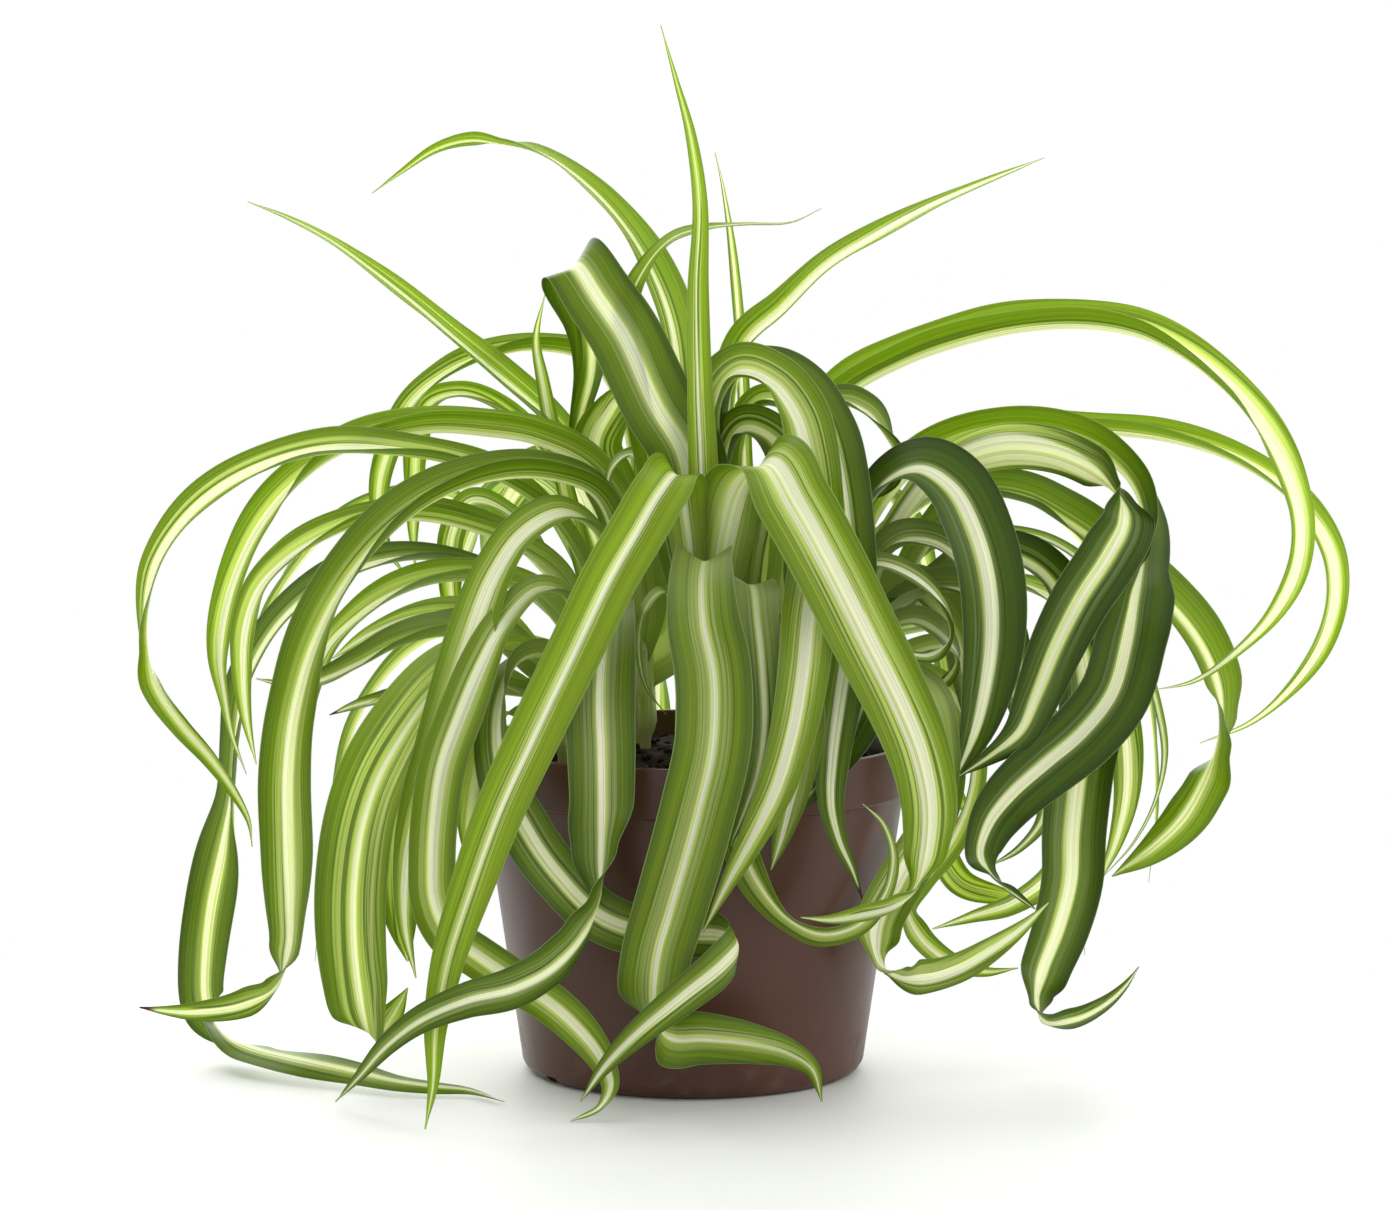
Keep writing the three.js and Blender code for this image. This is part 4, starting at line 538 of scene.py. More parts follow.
                (30, 107, -42, -90), (54, 120, -54), (84, 124, -62, -80), (106, 104, -62),
                (114, 80, -58, -40), (108, 60, -50), (96, 50, -44, -40), (84, 46, -40), (72, 42, -36, -40)],
                taper=6),
            leaf("behind_striped", 14, [
                (33, 109, -31, -90), (56, 134, -36), (84, 147, -40, -80), (108, 141, -42),
                (123, 122, -42, -40), (129, 102, -40), (130, 84, -37, -20), (127, 69, -34), (122, 56, -31)],
                taper=6),
        ],
    },
}

# How each rosette looks, where a leaf doesn't say: its shade, from 0 to 1, which darkens the green partly
# as painted shade and partly as a darker green of its own, how wide its cream stripe is, with 1 a full
# stripe, and the share of the half blade that the lime beside the stripe takes
ROSETTE_LOOKS = {
    "front": (0.4, 0.52, 0.28),
    "left": (0.12, 0.78, 0.36),
    "right": (0.65, 0.7, 0.32),
    "back_left": (0.12, 0.78, 0.34),
    "back_right": (0.25, 0.78, 0.32),
}


def deselect():
    bpy.ops.object.select_all(action="DESELECT")


def use(piece):
    """Makes piece the only selected and the active object."""
    deselect()
    piece.select_set(True)
    bpy.context.view_layer.objects.active = piece


def apply_modifier(piece, kind, **settings):
    use(piece)
    modifier = piece.modifiers.new(kind.title(), kind)
    for name, value in settings.items():
        setattr(modifier, name, value)
    bpy.ops.object.modifier_apply(modifier=modifier.name)


def smooth_faces(piece, degrees):
    """Shades the piece smooth, but for edges sharper than the angle."""
    use(piece)
    bpy.ops.object.shade_smooth_by_angle(angle=math.radians(degrees))


def finish_piece(piece, name, node, materials):
    """Names the piece, gives it its materials, attaches it to the body and hides the node it stands for."""
    piece.name = name
    piece.data.name = name
    piece.data.materials.clear()
    for material in materials:
        piece.data.materials.append(material)
    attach(piece, BODY)
    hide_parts(node)


def seeded(name):
    """A number from 0 to 1 that depends only on the name."""
    return random.Random(name).random()


# Nodes of a material

def new_tree(name):
    material = bpy.data.materials.new(name)
    material.use_nodes = True
    tree = material.node_tree
    tree.nodes.clear()
    return material, tree


def link(tree, source, socket):
    if isinstance(source, bpy.types.NodeSocket):
        tree.links.new(source, socket)
    elif socket.type == "RGBA" and len(source) == 3:
        socket.default_value = (*source, 1)
    else:
        socket.default_value = source


def add(tree, kind, inputs=None, **settings):
    node = tree.nodes.new(kind)
    for name, value in settings.items():
        setattr(node, name, value)
    for key, value in (inputs or {}).items():
        link(tree, value, node.inputs[key])
    return node


def maths(tree, operation, a, b=0.0):
    return add(tree, "ShaderNodeMath", {0: a, 1: b}, operation=operation).outputs[0]


def plus(tree, a, b):
    return maths(tree, "ADD", a, b)


def minus(tree, a, b):
    return maths(tree, "SUBTRACT", a, b)


def times(tree, a, b):
    return maths(tree, "MULTIPLY", a, b)


def distance(tree, a, b):
    return maths(tree, "ABSOLUTE", minus(tree, a, b))


def span(tree, value, low, high, to_low=0.0, to_high=1.0):
    """value's place between low and high, smoothed, as a number between to_low and to_high."""
    inputs = {"Value": value, "From Min": low, "From Max": high, "To Min": to_low, "To Max": to_high}
    return add(tree, "ShaderNodeMapRange", inputs, interpolation_type="SMOOTHSTEP").outputs[0]


def mix_colour(tree, factor, a, b, blend="MIX"):
    node = add(tree, "ShaderNodeMix", data_type="RGBA", blend_type=blend)
    link(tree, factor, node.inputs[0])
    link(tree, a, node.inputs[6])
    link(tree, b, node.inputs[7])
    return node.outputs[2]


def tint(tree, colour, by):
    return mix_colour(tree, 1.0, colour, by, "MULTIPLY")


def noise(tree, vector, scale, detail=2.0, roughness=0.5):
    inputs = {"Vector": vector, "Scale": scale, "Detail": detail, "Roughness": roughness}
    return add(tree, "ShaderNodeTexNoise", inputs).outputs["Fac"]


def ramp(tree, value, stops):
    node = add(tree, "ShaderNodeValToRGB", {"Fac": value})
    elements = node.color_ramp.elements
    while len(elements) < len(stops):
        elements.new(1)
    for element, (position, shown) in zip(elements, stops):
        element.position = position
        element.color = (*shown, 1)
    return node.outputs["Color"]


def combine(tree, x=0.0, y=0.0, z=0.0):
    return add(tree, "ShaderNodeCombineXYZ", {"X": x, "Y": y, "Z": z}).outputs[0]


def grey(tree, tone):
    return combine(tree, tone, tone, tone)


def attribute(tree, name):
    return add(tree, "ShaderNodeAttribute", attribute_name=name).outputs["Fac"]


def axes(tree, point):
    """The x, y and z of a point."""
    parts = add(tree, "ShaderNodeSeparateXYZ", {0: point})
    return parts.outputs["X"], parts.outputs["Y"], parts.outputs["Z"]


def place_on_piece(tree):
    return add(tree, "ShaderNodeTexCoord").outputs["Object"]


def bumps(tree, height, strength, depth):
    return add(tree, "ShaderNodeBump", {"Height": height, "Strength": strength, "Distance": depth}).outputs[0]


def principled(tree, **inputs):
    """The shader node, with its inputs named by their words joined by underscores."""
    named = {key.replace("_", " "): value for key, value in inputs.items()}
    return add(tree, "ShaderNodeBsdfPrincipled", named)


def mixed_shader(tree, factor, a, b):
    return add(tree, "ShaderNodeMixShader", {0: factor, 1: a.outputs[0], 2: b.outputs[0]})


def surface(tree, shader):
    add(tree, "ShaderNodeOutputMaterial", {"Surface": shader.outputs[0]})


# Sizes and colours that a user would change

def colour_setting(name, description, *levels):
    """A colour property, its default given as a screen colour, 0 to 255."""
    return bpy.props.FloatVectorProperty(
        name=name, description=description, subtype="COLOR", default=rgb(*levels))


class SpiderLeafLooks(bpy.types.PropertyGroup):
    cream: colour_setting("Stripe", "Cream stripe along the middle", 252, 252, 236)
    pale: colour_setting("Pale lines", "Fine lines beside the stripe", 228, 236, 158)
    lime: colour_setting("Lime", "Light green beside the stripe", 216, 232, 122)
    green: colour_setting("Green", "Green of the blade", 166, 194, 34)
    dark: colour_setting("Margin", "Dark green toward the margins", 118, 148, 42)
    edge: colour_setting("Edge line", "Thin pale line along the edge", 186, 208, 132)
    base: colour_setting("Leaf base", "Pale green of the leaf bases", 204, 218, 140)
    dry: colour_setting("Dry tip", "Brown of dried tips", 104, 52, 36)
    roughness: bpy.props.FloatProperty(
        name="Roughness", description="Roughness of the blades", default=0.36, min=0, max=1, subtype="FACTOR")
    thickness: bpy.props.FloatProperty(
        name="Thickness", description="Thickness of a blade at its middle", default=BLADE_THICK * MM,
        unit="LENGTH")


class SpiderPotLooks(bpy.types.PropertyGroup):
    plastic: colour_setting("Plastic", "Brown of the pot", 74, 44, 33)
    roughness: bpy.props.FloatProperty(
        name="Roughness", description="Roughness of the pot", default=0.34, min=0, max=1, subtype="FACTOR")
    peat: colour_setting("Peat", "Brown of the potting soil", 52, 38, 28)


class SpiderStageLooks(bpy.types.PropertyGroup):
    floor: colour_setting("Floor", "Pale floor", 216, 217, 214)
    surround: bpy.props.FloatProperty(
        name="Surround", description="Strength of the white surround", default=1.12, min=0)
    key: bpy.props.FloatProperty(
        name="Key light", description="Power of the large soft light", default=10.0, min=0, unit="POWER")


# Leaves

def place(across, up, near):
    """The point on the sight line through (across, up) of the plane that lies near in front of it."""
    on_plane = np.array([across, 0.0, up])
    return on_plane + (EYE - on_plane) * (near / -EYE[1])


def crown_place(rosette):
    """x and y of a crown's axis, in mm."""
    near = rosette["near"]
    return rosette["across"] * (1 - near / -EYE[1]), -near


def unit(vectors):
    return vectors / np.linalg.norm(vectors, axis=-1, keepdims=True)


def smooth(low, high, value):
    k = np.clip((value - low) / (high - low), 0, 1)
    return k * k * (3 - 2 * k)


def spline(points):
    """A smooth curve through the points, with FINE_STEPS steps between each two."""
    first = 2 * points[0] - points[1]
    last = 2 * points[-1] - points[-2]
    extended = np.vstack([first, points, last])
    fine = []
    for i in range(1, len(extended) - 2):
        before, here, there, after = extended[i - 1:i + 3]
        steps = (here - before, there - here, after - there)
        gap_in, gap, gap_out = (math.sqrt(np.linalg.norm(step)) for step in steps)
        start = (steps[0] / gap_in - (there - before) / (gap_in + gap) + steps[1] / gap) * gap
        end = (steps[1] / gap - (after - here) / (gap + gap_out) + steps[2] / gap_out) * gap
        for k in np.arange(FINE_STEPS) / FINE_STEPS:
            fine.append(here + start * k + (3 * (there - here) - 2 * start - end) * k ** 2
                        + (2 * (here - there) + start + end) * k ** 3)
    fine.append(points[-1])
    return np.array(fine)


def carry_face(tangent):
    """Directions square to the course that follow its bends without a twist of their own."""
    carried = np.zeros_like(tangent)
    last = START_FACE
    for i, forward in enumerate(tangent):
        last = unit(last - forward * last.dot(forward))
        carried[i] = last
    return carried


def course(route, rosette, root_height):
    """A leaf's fine course: points, tangents, directions of the upper face, lengths and efforts.

    An effort is a length with the bends so far added, so that the rows of a blade crowd where it bends.
    """
    points = np.array([place(*entry[:3]) for entry in route])
    points[0] = (*crown_place(rosette), SOIL_TOP + root_height)
    fine = spline(points)
    count = len(fine)
    index = np.arange(count)
    tangent = unit(fine[np.minimum(index + 1, count - 1)] - fine[np.maximum(index - 1, 0)])
    length = np.concatenate([[0], np.cumsum(np.linalg.norm(np.diff(fine, axis=0), axis=1))])
    carried = carry_face(tangent)
    across = np.cross(tangent, carried)
    places, turns = [], []
    for k, entry in enumerate(route):
        if len(entry) < 4:
            continue
        i = k * FINE_STEPS
        to_eye = unit(EYE - fine[i])
        front = unit(to_eye - tangent[i] * to_eye.dot(tangent[i]))
        side = np.cross(tangent[i], front)
        facing = math.radians(entry[3])
        face = front * math.cos(facing) + side * math.sin(facing)
        turn = math.atan2(face.dot(across[i]), face.dot(carried[i]))
        if turns:
            turn += 2 * math.pi * round((turns[-1] - turn) / (2 * math.pi))
        places.append(length[i])
        turns.append(turn)
    turn = np.full(count, turns[0])
    for k in range(1, len(turns)):
        turn += (turns[k] - turn) * smooth(places[k - 1], places[k], length)
    face = carried * np.cos(turn)[:, None] + across * np.sin(turn)[:, None]
    bend = np.zeros(count)
    for vectors in (tangent, face):
        dots = np.clip((vectors[1:] * vectors[:-1]).sum(1), -1, 1)
        bend[1:] += np.arccos(dots)
    effort = length + BEND_WEIGHT * np.cumsum(bend)
    return fine, tangent, face, length, effort


def write_attribute(mesh, name, numbers):
    values = mesh.attributes.new(name, "FLOAT", "POINT")
    values.data.foreach_set("value", numbers.astype(np.float32))


def blade_form(entry, share):
    """Half widths and fold angles at these shares of a leaf's length."""
    opening = entry["base"] + (1 - entry["base"]) * smooth(WIDENS_FROM, OPEN_AT, share)
    half = np.maximum(TIP_WIDTH, entry["width"] * opening * (1 - share ** entry["taper"])) / 2
    fold = entry["clasp"] + (entry["fold"] - entry["clasp"]) * smooth(0, OPEN_AT, share)
    return half, np.radians(fold + (FOLD_TIP - fold) * smooth(*FLATTENS, share))


def thin_edges(piece, places, halves):
    """Weights that thin the blade toward its edges and its tip, from each vertex's place across."""
    group = piece.vertex_groups.new(name="blade")
    for vertex, place_across, half in zip(piece.data.vertices, places, halves):
        near_tip = min(1.0, float(half) / THIN_HALF)
        thick = (1 - (1 - MARGIN_SHARE) * abs(place_across) ** 1.5) * (TIP_SHARE + (1 - TIP_SHARE) * near_tip)
        group.add([vertex.index], thick, "REPLACE")


def shape_blade(piece, entry, rosette, root_height, rows):
    """Lays the flat grid along the leaf's course, as a channel that opens toward the tip."""
    fine, tangent, face, length, effort = course(entry["route"], rosette, root_height)
    wanted = np.linspace(0, effort[-1], rows + 1)

    def along(values):
        return np.stack([np.interp(wanted, effort, column) for column in values.T], axis=-1)

    point = along(fine)
    forward = unit(along(tangent))
    up = along(face)
    up = unit(up - forward * (up * forward).sum(1, keepdims=True))
    side = np.cross(forward, up)
    run = np.interp(wanted, effort, length)
    share = run / run[-1]
    half, fold = blade_form(entry, share)
    mesh = piece.data
    flat = np.empty(len(mesh.vertices) * 3)
    mesh.vertices.foreach_get("co", flat)
    flat = flat.reshape(-1, 3)
    row = np.rint((flat[:, 1] + 0.5) * rows).astype(int)
    # Place across the blade, from -1 at its left edge to 1 at its right edge
    place_across = flat[:, 0] * 2
    rounding = math.hypot(1, KEEL_ROUND) - KEEL_ROUND
    channel = (np.hypot(place_across, KEEL_ROUND) - KEEL_ROUND) / rounding
    phase = 2 * math.pi * seeded(piece.name + " ripple")
    wave = np.sin(2 * math.pi * run[row] / RIPPLE_LENGTH + phase + np.sign(place_across) * SIDE_PHASE)
    strength = smooth(*RIPPLE_STARTS, share[row]) * np.minimum(1, half[row] / RIPPLE_FULL_HALF)
    ripple = RIPPLE * strength * place_across ** 2 * wave
    out = place_across * half[row] * np.cos(fold[row])
    rise = channel * half[row] * np.sin(fold[row]) + ripple
    laid = point[row] + side[row] * out[:, None] + up[row] * rise[:, None]
    mesh.vertices.foreach_set("co", (laid * MM).ravel())
    thin_edges(piece, place_across, half[row])
    write_attribute(mesh, "run", run[row] * MM)
    write_attribute(mesh, "half", half[row] * MM)
    mesh.update()
    return run[-1]


def fade(look, along):
    """A leaf's look, which is one number or a pair of them: toward the base and toward the tip."""
    first, last = look if isinstance(look, tuple) else (look, look)
    return first + (last - first) * smooth(*LOOK_CHANGES, along)


def own_look(entry, look, usual):
    """The leaf's own look, or else the usual one of its rosette."""
    return usual if entry[look] is None else entry[look]


def grow_leaf(rosette_name, rosette, number, materials, thickness):
    entry = rosette["leaves"][number]
    name = f"{rosette_name}_{entry['name']}"
    root_height = ROOT_HEIGHT + number * ROOT_STEP
    length = course(entry["route"], rosette, root_height)[4][-1]
    rows = min(MOST_STATIONS, round(length / STATION_STEP))
    deselect()
    bpy.ops.mesh.primitive_grid_add(x_subdivisions=CELLS_ACROSS, y_subdivisions=rows, size=1)
    piece = bpy.context.object
    piece.name = name
    reach = shape_blade(piece, entry, rosette, root_height, rows) * MM
    apply_modifier(piece, "SOLIDIFY", thickness=thickness, offset=0, use_even_offset=False,
                   vertex_group="blade", material_offset=1, use_quality_normals=True)
    along = np.empty(len(piece.data.vertices), np.float32)
    piece.data.attributes["run"].data.foreach_get("value", along)
    along /= reach
    # shade: how much painted shade, with some darker green of the leaf's own, darkens the blade; a pair paints
    # it lighter at the base and shaded toward the tip
    shade, cream, lime = ROSETTE_LOOKS[rosette_name]
    shade = fade(own_look(entry, "shade", shade), along) + SHADE_SPREAD * (seeded(name + " shade") - 0.5)
    cream = fade(own_look(entry, "cream", cream), along) + CREAM_SPREAD * (seeded(name + " cream") - 0.5)
    lime = own_look(entry, "lime", lime) * (LEAST_LIME + LIME_SPREAD * seeded(name + " lime"))
    looks = {"shade": shade, "cream": cream, "lime": lime, "seed": seeded(name), "dry": entry["dry"]}
    for key, value in looks.items():
        write_attribute(piece.data, key, np.broadcast_to(value, along.shape))
    smooth_faces(piece, degrees=60)
    finish_piece(piece, name, f"rosette_{rosette_name}", materials)
    return piece


def streaks(tree, place_across, run, seed, scale, detail=2.0):
    """Lines of random strength, about -1 to 1, that run along the blade and slowly change."""
    at = combine(tree, times(tree, place_across, scale), times(tree, run, 5.0), times(tree, seed, 40.0))
    return times(tree, minus(tree, noise(tree, at, 1.0, detail, 0.6), 0.5), 3.2)


def striped_colour(tree, looks, place_in, lines, shade):
    """Cream stripe, lime bands, green margins and threads; and how far a place lies past the stripe."""
    parted = plus(tree, place_in, times(tree, lines, 0.1))
    past_stripe = minus(tree, parted, times(tree, attribute(tree, "cream"), STRIPE_SHARE))
    past_lime = minus(tree, past_stripe, attribute(tree, "lime"))
    # Margins darken toward the edge, more where a leaf has more painted shade
    darker = times(tree, span(tree, place_in, MARGIN_FROM, 1.0), span(tree, shade, 0.0, 0.7, 0.4, 1.0))
    blade = mix_colour(tree, darker, looks.green, looks.dark)
    blade = mix_colour(tree, span(tree, past_lime, -LIME_EDGE, LIME_EDGE), looks.lime, blade)
    blade = mix_colour(tree, span(tree, past_stripe, -STRIPE_EDGE, STRIPE_EDGE), looks.cream, blade)
    # Pale and green threads beside the cream stripe
    beside = times(tree, span(tree, past_stripe, -0.1, 0.02), span(tree, past_lime, 0.25, 0.0))
    pale_thread = times(tree, span(tree, lines, 0.2, 0.3, 0.0, THREAD), beside)
    blade = mix_colour(tree, pale_thread, blade, looks.pale)
    green_thread = times(tree, span(tree, lines, -0.18, -0.27, 0.0, THREAD), beside)
    return mix_colour(tree, green_thread, blade, looks.dark), past_stripe


def base_and_tip(tree, looks, blade, run, along, lines):
    """The pale base of a leaf and its ragged dry tip."""
    blade = mix_colour(tree, span(tree, run, *(end * MM for end in PALE_BASE), 0.0, 0.7), blade, looks.base)
    dry_from = minus(tree, 1.0, times(tree, attribute(tree, "dry"), DRY_SHARE))
    ragged = plus(tree, minus(tree, along, dry_from), times(tree, lines, 0.006))
    return mix_colour(tree, span(tree, ragged, 0.0, DRY_EDGE), blade, looks.dry)


def leaf_material(looks, under):
    """Stripes that run along the blade: cream at the middle, lime beside it and green at the margins."""
    material, tree = new_tree("leaf_underside" if under else "leaf_upper_side")
    across, along, _ = axes(tree, add(tree, "ShaderNodeUVMap", uv_map="UVMap").outputs[0])
    seed = attribute(tree, "seed")
    run = attribute(tree, "run")
    shade = attribute(tree, "shade")
    half = attribute(tree, "half")
    side = minus(tree, times(tree, across, 2.0), 1.0)
    from_middle = times(tree, side, half)
    # Narrow tips are plain
    marked = span(tree, half, PLAIN_HALF * MM, MARKED_HALF * MM)
    lines = times(tree, streaks(tree, from_middle, run, plus(tree, seed, 0.3), LINE_SCALE), marked)
    veins = times(tree, streaks(tree, from_middle, run, plus(tree, seed, 0.7), VEIN_SCALE), marked)
    # Place among the stripes: 0 at the middle of the blade, 1 at its edge
    place_in = distance(tree, side, times(tree, minus(tree, seed, 0.5), OFF_CENTRE))
    place_in = plus(tree, place_in, times(tree, streaks(tree, across, run, seed, 4.0, 1.0), 0.06))
    blade, past_stripe = striped_colour(tree, looks, place_in, lines, shade)
    # A second thin stripe on one side
    second = distance(tree, side, span(tree, seed, 0.0, 1.0, -0.6, 0.6))
    second = plus(tree, second, times(tree, lines, 0.02))
    second = times(tree, span(tree, second, *SECOND_STRIPE, 0.0, THREAD), marked)
    blade = mix_colour(tree, second, blade, looks.pale)
    # Painted shade, with some darker green of the leaves' own: shade darkens and cools the green
    greenness = span(tree, past_stripe, -STRIPE_EDGE, 0.12)
    blade = mix_colour(tree, times(tree, greenness, shade), blade, tint(tree, blade, SHADED))
    # Fine veins
    tone = plus(tree, span(tree, veins, *VEIN_SPAN, 0.82, 1.14), times(tree, lines, 0.1))
    blade = tint(tree, blade, grey(tree, tone))
    # Pale line along the edge
    edge_line = times(tree, span(tree, maths(tree, "ABSOLUTE", side), *EDGE_LINE, 0.0, 0.45), marked)
    blade = mix_colour(tree, edge_line, blade, looks.edge)
    blade = base_and_tip(tree, looks, blade, run, along, lines)
    if under:
        blade = mix_colour(tree, 0.42, blade, UNDERSIDE)
    normal = bumps(tree, plus(tree, times(tree, veins, 0.5), times(tree, lines, 0.5)), 0.12, 0.25 * MM)
    roughness = span(tree, veins, *VEIN_SPAN, looks.roughness - 0.06, looks.roughness + 0.08)
    solid = principled(
        tree, Base_Color=blade, Roughness=roughness, Normal=normal, Specular_IOR_Level=0.38,
        Sheen_Weight=0.06, Sheen_Roughness=0.4, Sheen_Tint=(0.8, 0.9, 0.92, 1))
    glow = add(tree, "ShaderNodeBsdfTranslucent", {"Color": tint(tree, blade, LIT_THROUGH), "Normal": normal})
    surface(tree, mixed_shader(tree, 0.54, solid, glow))
    return material


class SpiderGrowLeaves(bpy.types.Operator):
    """Grow every leaf of the five rosettes as a thin channelled blade"""
    bl_idname = "spider_plant.grow_leaves"
    bl_label = "Grow Leaves"

    def execute(self, context):
        looks = context.scene.spider_leaf_looks
        materials = [leaf_material(looks, under) for under in (False, True)]
        for name, rosette in ROSETTES.items():
            for number in range(len(rosette["leaves"])):
                grow_leaf(name, rosette, number, materials, looks.thickness)
        return {"FINISHED"}


# Crowns, pot and soil

def turn_outline(name, outline, sides, middle=(0, 0)):
    """A body of revolution: a circle extruded ring by ring along the outline of (radius, height) points."""
    deselect()
    radius, height = outline[0]
    x, y = middle[0] * MM, middle[1] * MM
    bpy.ops.mesh.primitive_circle_add(
        vertices=sides, radius=radius * MM, fill_type="NGON", location=(x, y, height * MM))
    piece = bpy.context.object
    bpy.ops.object.transform_apply(location=True, rotation=True, scale=True)
    bpy.ops.object.mode_set(mode="EDIT")
    bpy.ops.mesh.select_all(action="SELECT")
    bpy.ops.mesh.flip_normals()
    bpy.ops.mesh.select_mode(type="EDGE")
    bpy.ops.mesh.region_to_loop()
    for next_radius, next_height in outline[1:]:
        bpy.ops.mesh.extrude_region_move(
            TRANSFORM_OT_translate={"value": (0, 0, (next_height - height) * MM)})
        scale = next_radius / radius
        if scale != 1:
            bpy.ops.transform.resize(value=(scale, scale, 1), center_override=(x, y, next_height * MM))
        radius, height = next_radius, next_height
    bpy.ops.mesh.edge_face_add()
    bpy.ops.mesh.select_all(action="SELECT")
    bpy.ops.mesh.normals_make_consistent(inside=False)
    bpy.ops.object.mode_set(mode="OBJECT")
    piece.name = name
    return piece


def crown_outline(rosette):
    """Radii and heights: the foot in the soil, the swelling above it and the rounded top."""
    top = rosette["height"]
    shoulder = top - CROWN_RADIUS
    points = [(0.9, -CROWN_DEPTH), (1, 1 - CROWN_DEPTH), (1, 2.5), (1.15, 5), (1.25, 8)]
    points += [(1.25 - 0.15 * k, 8 + (shoulder - 8) * k) for k in (0.25, 0.5, 0.75, 1)]
    points += [(0.9, top - 4), (0.6, top - 1.5), (0.25, top - 0.3)]
    return [(CROWN_RADIUS * share, SOIL_TOP + level) for share, level in points]


def crown_material(looks):
    """Pale sheathing leaf bases: upright streaks of cream and green."""
    material, tree = new_tree("crown_sheaths")
    x, y, z = axes(tree, place_on_piece(tree))
    upright = combine(tree, times(tree, x, 900.0), times(tree, y, 900.0), times(tree, z, 12.0))
    sheaths = noise(tree, upright, 1.0, 3.0, 0.6)
    stops = [(0.3, looks.green), (0.45, looks.lime), (0.55, looks.base), (0.7, looks.cream)]
    low = span(tree, z, (SOIL_TOP + 16) * MM, (SOIL_TOP + 2) * MM)
    shown = mix_colour(tree, times(tree, low, 0.6), ramp(tree, sheaths, stops), OLD_SHEATH)
    surface(tree, principled(
        tree, Base_Color=shown, Roughness=0.5, Normal=bumps(tree, sheaths, 0.5, 0.6 * MM),
        Subsurface_Weight=0.1, Subsurface_Radius=(0.002, 0.0025, 0.001), Subsurface_Scale=1.0))
    return material


class SpiderGrowCrowns(bpy.types.Operator):
    """Model the five crowns that the leaves grow from"""
    bl_idname = "spider_plant.grow_crowns"
    bl_label = "Grow Crowns"

    def execute(self, context):
        material = crown_material(context.scene.spider_leaf_looks)
        for name, rosette in ROSETTES.items():
            piece = turn_outline(f"{name}_crown", crown_outline(rosette), CROWN_SIDES, crown_place(rosette))
            smooth_faces(piece, degrees=60)
            finish_piece(piece, f"{name}_crown", f"rosette_{name}", [material])
        return {"FINISHED"}


def wall_radius(height):
    slope = (WALL_TOP_RADIUS - WALL_FOOT_RADIUS) / (BAND_BOTTOM - FOOT_ROUNDING)
    return WALL_FOOT_RADIUS + slope * (height - FOOT_ROUNDING)


def rounded(radius, rounding, bottom, steps=8):
    """Outline points of a rounded foot, from the floor up to the wall."""
    turns = [math.pi / 2 * k / steps for k in range(steps + 1)]
    inner = radius - rounding
    return [(inner + rounding * math.sin(a), bottom + rounding * (1 - math.cos(a))) for a in turns]


def pot_outline():
    """Round the wall: the foot with its shallow middle mark, the wall, the band, the rim and back inside."""
    levels = range(10, BAND_BOTTOM, 15)
    outside = [(6, 0.6), (8, 0.6), (8.6, 0), (34, 0), *rounded(WALL_FOOT_RADIUS, FOOT_ROUNDING, 0)]
    outside += [(wall_radius(level), level) for level in levels]
    band = BAND_RADIUS - BAND_DRAFT
    outside += [
        (WALL_TOP_RADIUS - 0.1, BAND_BOTTOM - 1.0), (WALL_TOP_RADIUS + 0.1, BAND_BOTTOM - 0.3),
        (WALL_TOP_RADIUS + 0.6, BAND_BOTTOM), (band - 0.4, BAND_BOTTOM + 0.1), (band, BAND_BOTTOM + 0.5),
        (BAND_RADIUS - BAND_DRAFT / 2, BAND_BOTTOM + 7), (BAND_RADIUS, POT_HEIGHT - 1.2),
        (BAND_RADIUS - 0.12, POT_HEIGHT - 0.4), (BAND_RADIUS - 0.45, POT_HEIGHT - 0.08),
        (BAND_RADIUS - RIM_ROUNDING, POT_HEIGHT)]
    inner = band - WALL
    inside = [
        (inner + 0.7, POT_HEIGHT), (inner + 0.2, POT_HEIGHT - 0.3), (inner, POT_HEIGHT - 0.9),
        (inner, BAND_BOTTOM + 1), (WALL_TOP_RADIUS - WALL, BAND_BOTTOM - 1)]
    inside += [(wall_radius(level) - WALL, level) for level in reversed(levels)]
    inside += list(reversed(rounded(WALL_FOOT_RADIUS - WALL, FOOT_ROUNDING - FLOOR + 1, FLOOR)))
    inside += [(30, FLOOR), (6, FLOOR)]
    return outside + inside


def cut_away(piece, cutter):
    apply_modifier(piece, "BOOLEAN", object=cutter, operation="DIFFERENCE", solver="EXACT")
    bpy.data.objects.remove(cutter)


def pot_material(looks):
    """Satin moulded plastic with a fine orange-peel, faint flow marks and a little dust low down."""
    material, tree = new_tree("pot_plastic")
    at = place_on_piece(tree)
    x, y, z = axes(tree, at)
    patches = noise(tree, at, 26.0, 3.0)
    upright = combine(tree, times(tree, x, 60.0), times(tree, y, 60.0), times(tree, z, 6.0))
    flow = noise(tree, upright, 1.0, 3.0)
    tone = plus(tree, span(tree, patches, 0.3, 0.7, 0.9, 1.04), span(tree, flow, 0.3, 0.7, -0.04, 0.06))
    shown = tint(tree, tuple(looks.plastic), grey(tree, tone))
    dust = times(tree, span(tree, z, 30 * MM, 0.0), span(tree, noise(tree, at, 140.0, 4.0), 0.5, 0.75))
    shown = mix_colour(tree, times(tree, dust, 0.12), shown, DUST)
    satin = span(tree, patches, 0.3, 0.7, looks.roughness - 0.04, looks.roughness + 0.06)
    surface(tree, principled(
        tree, Base_Color=shown, Roughness=plus(tree, satin, times(tree, dust, 0.3)),
        Normal=bumps(tree, noise(tree, at, 900.0, 2.0), 0.12, 0.2 * MM), Specular_IOR_Level=0.36))
    return material


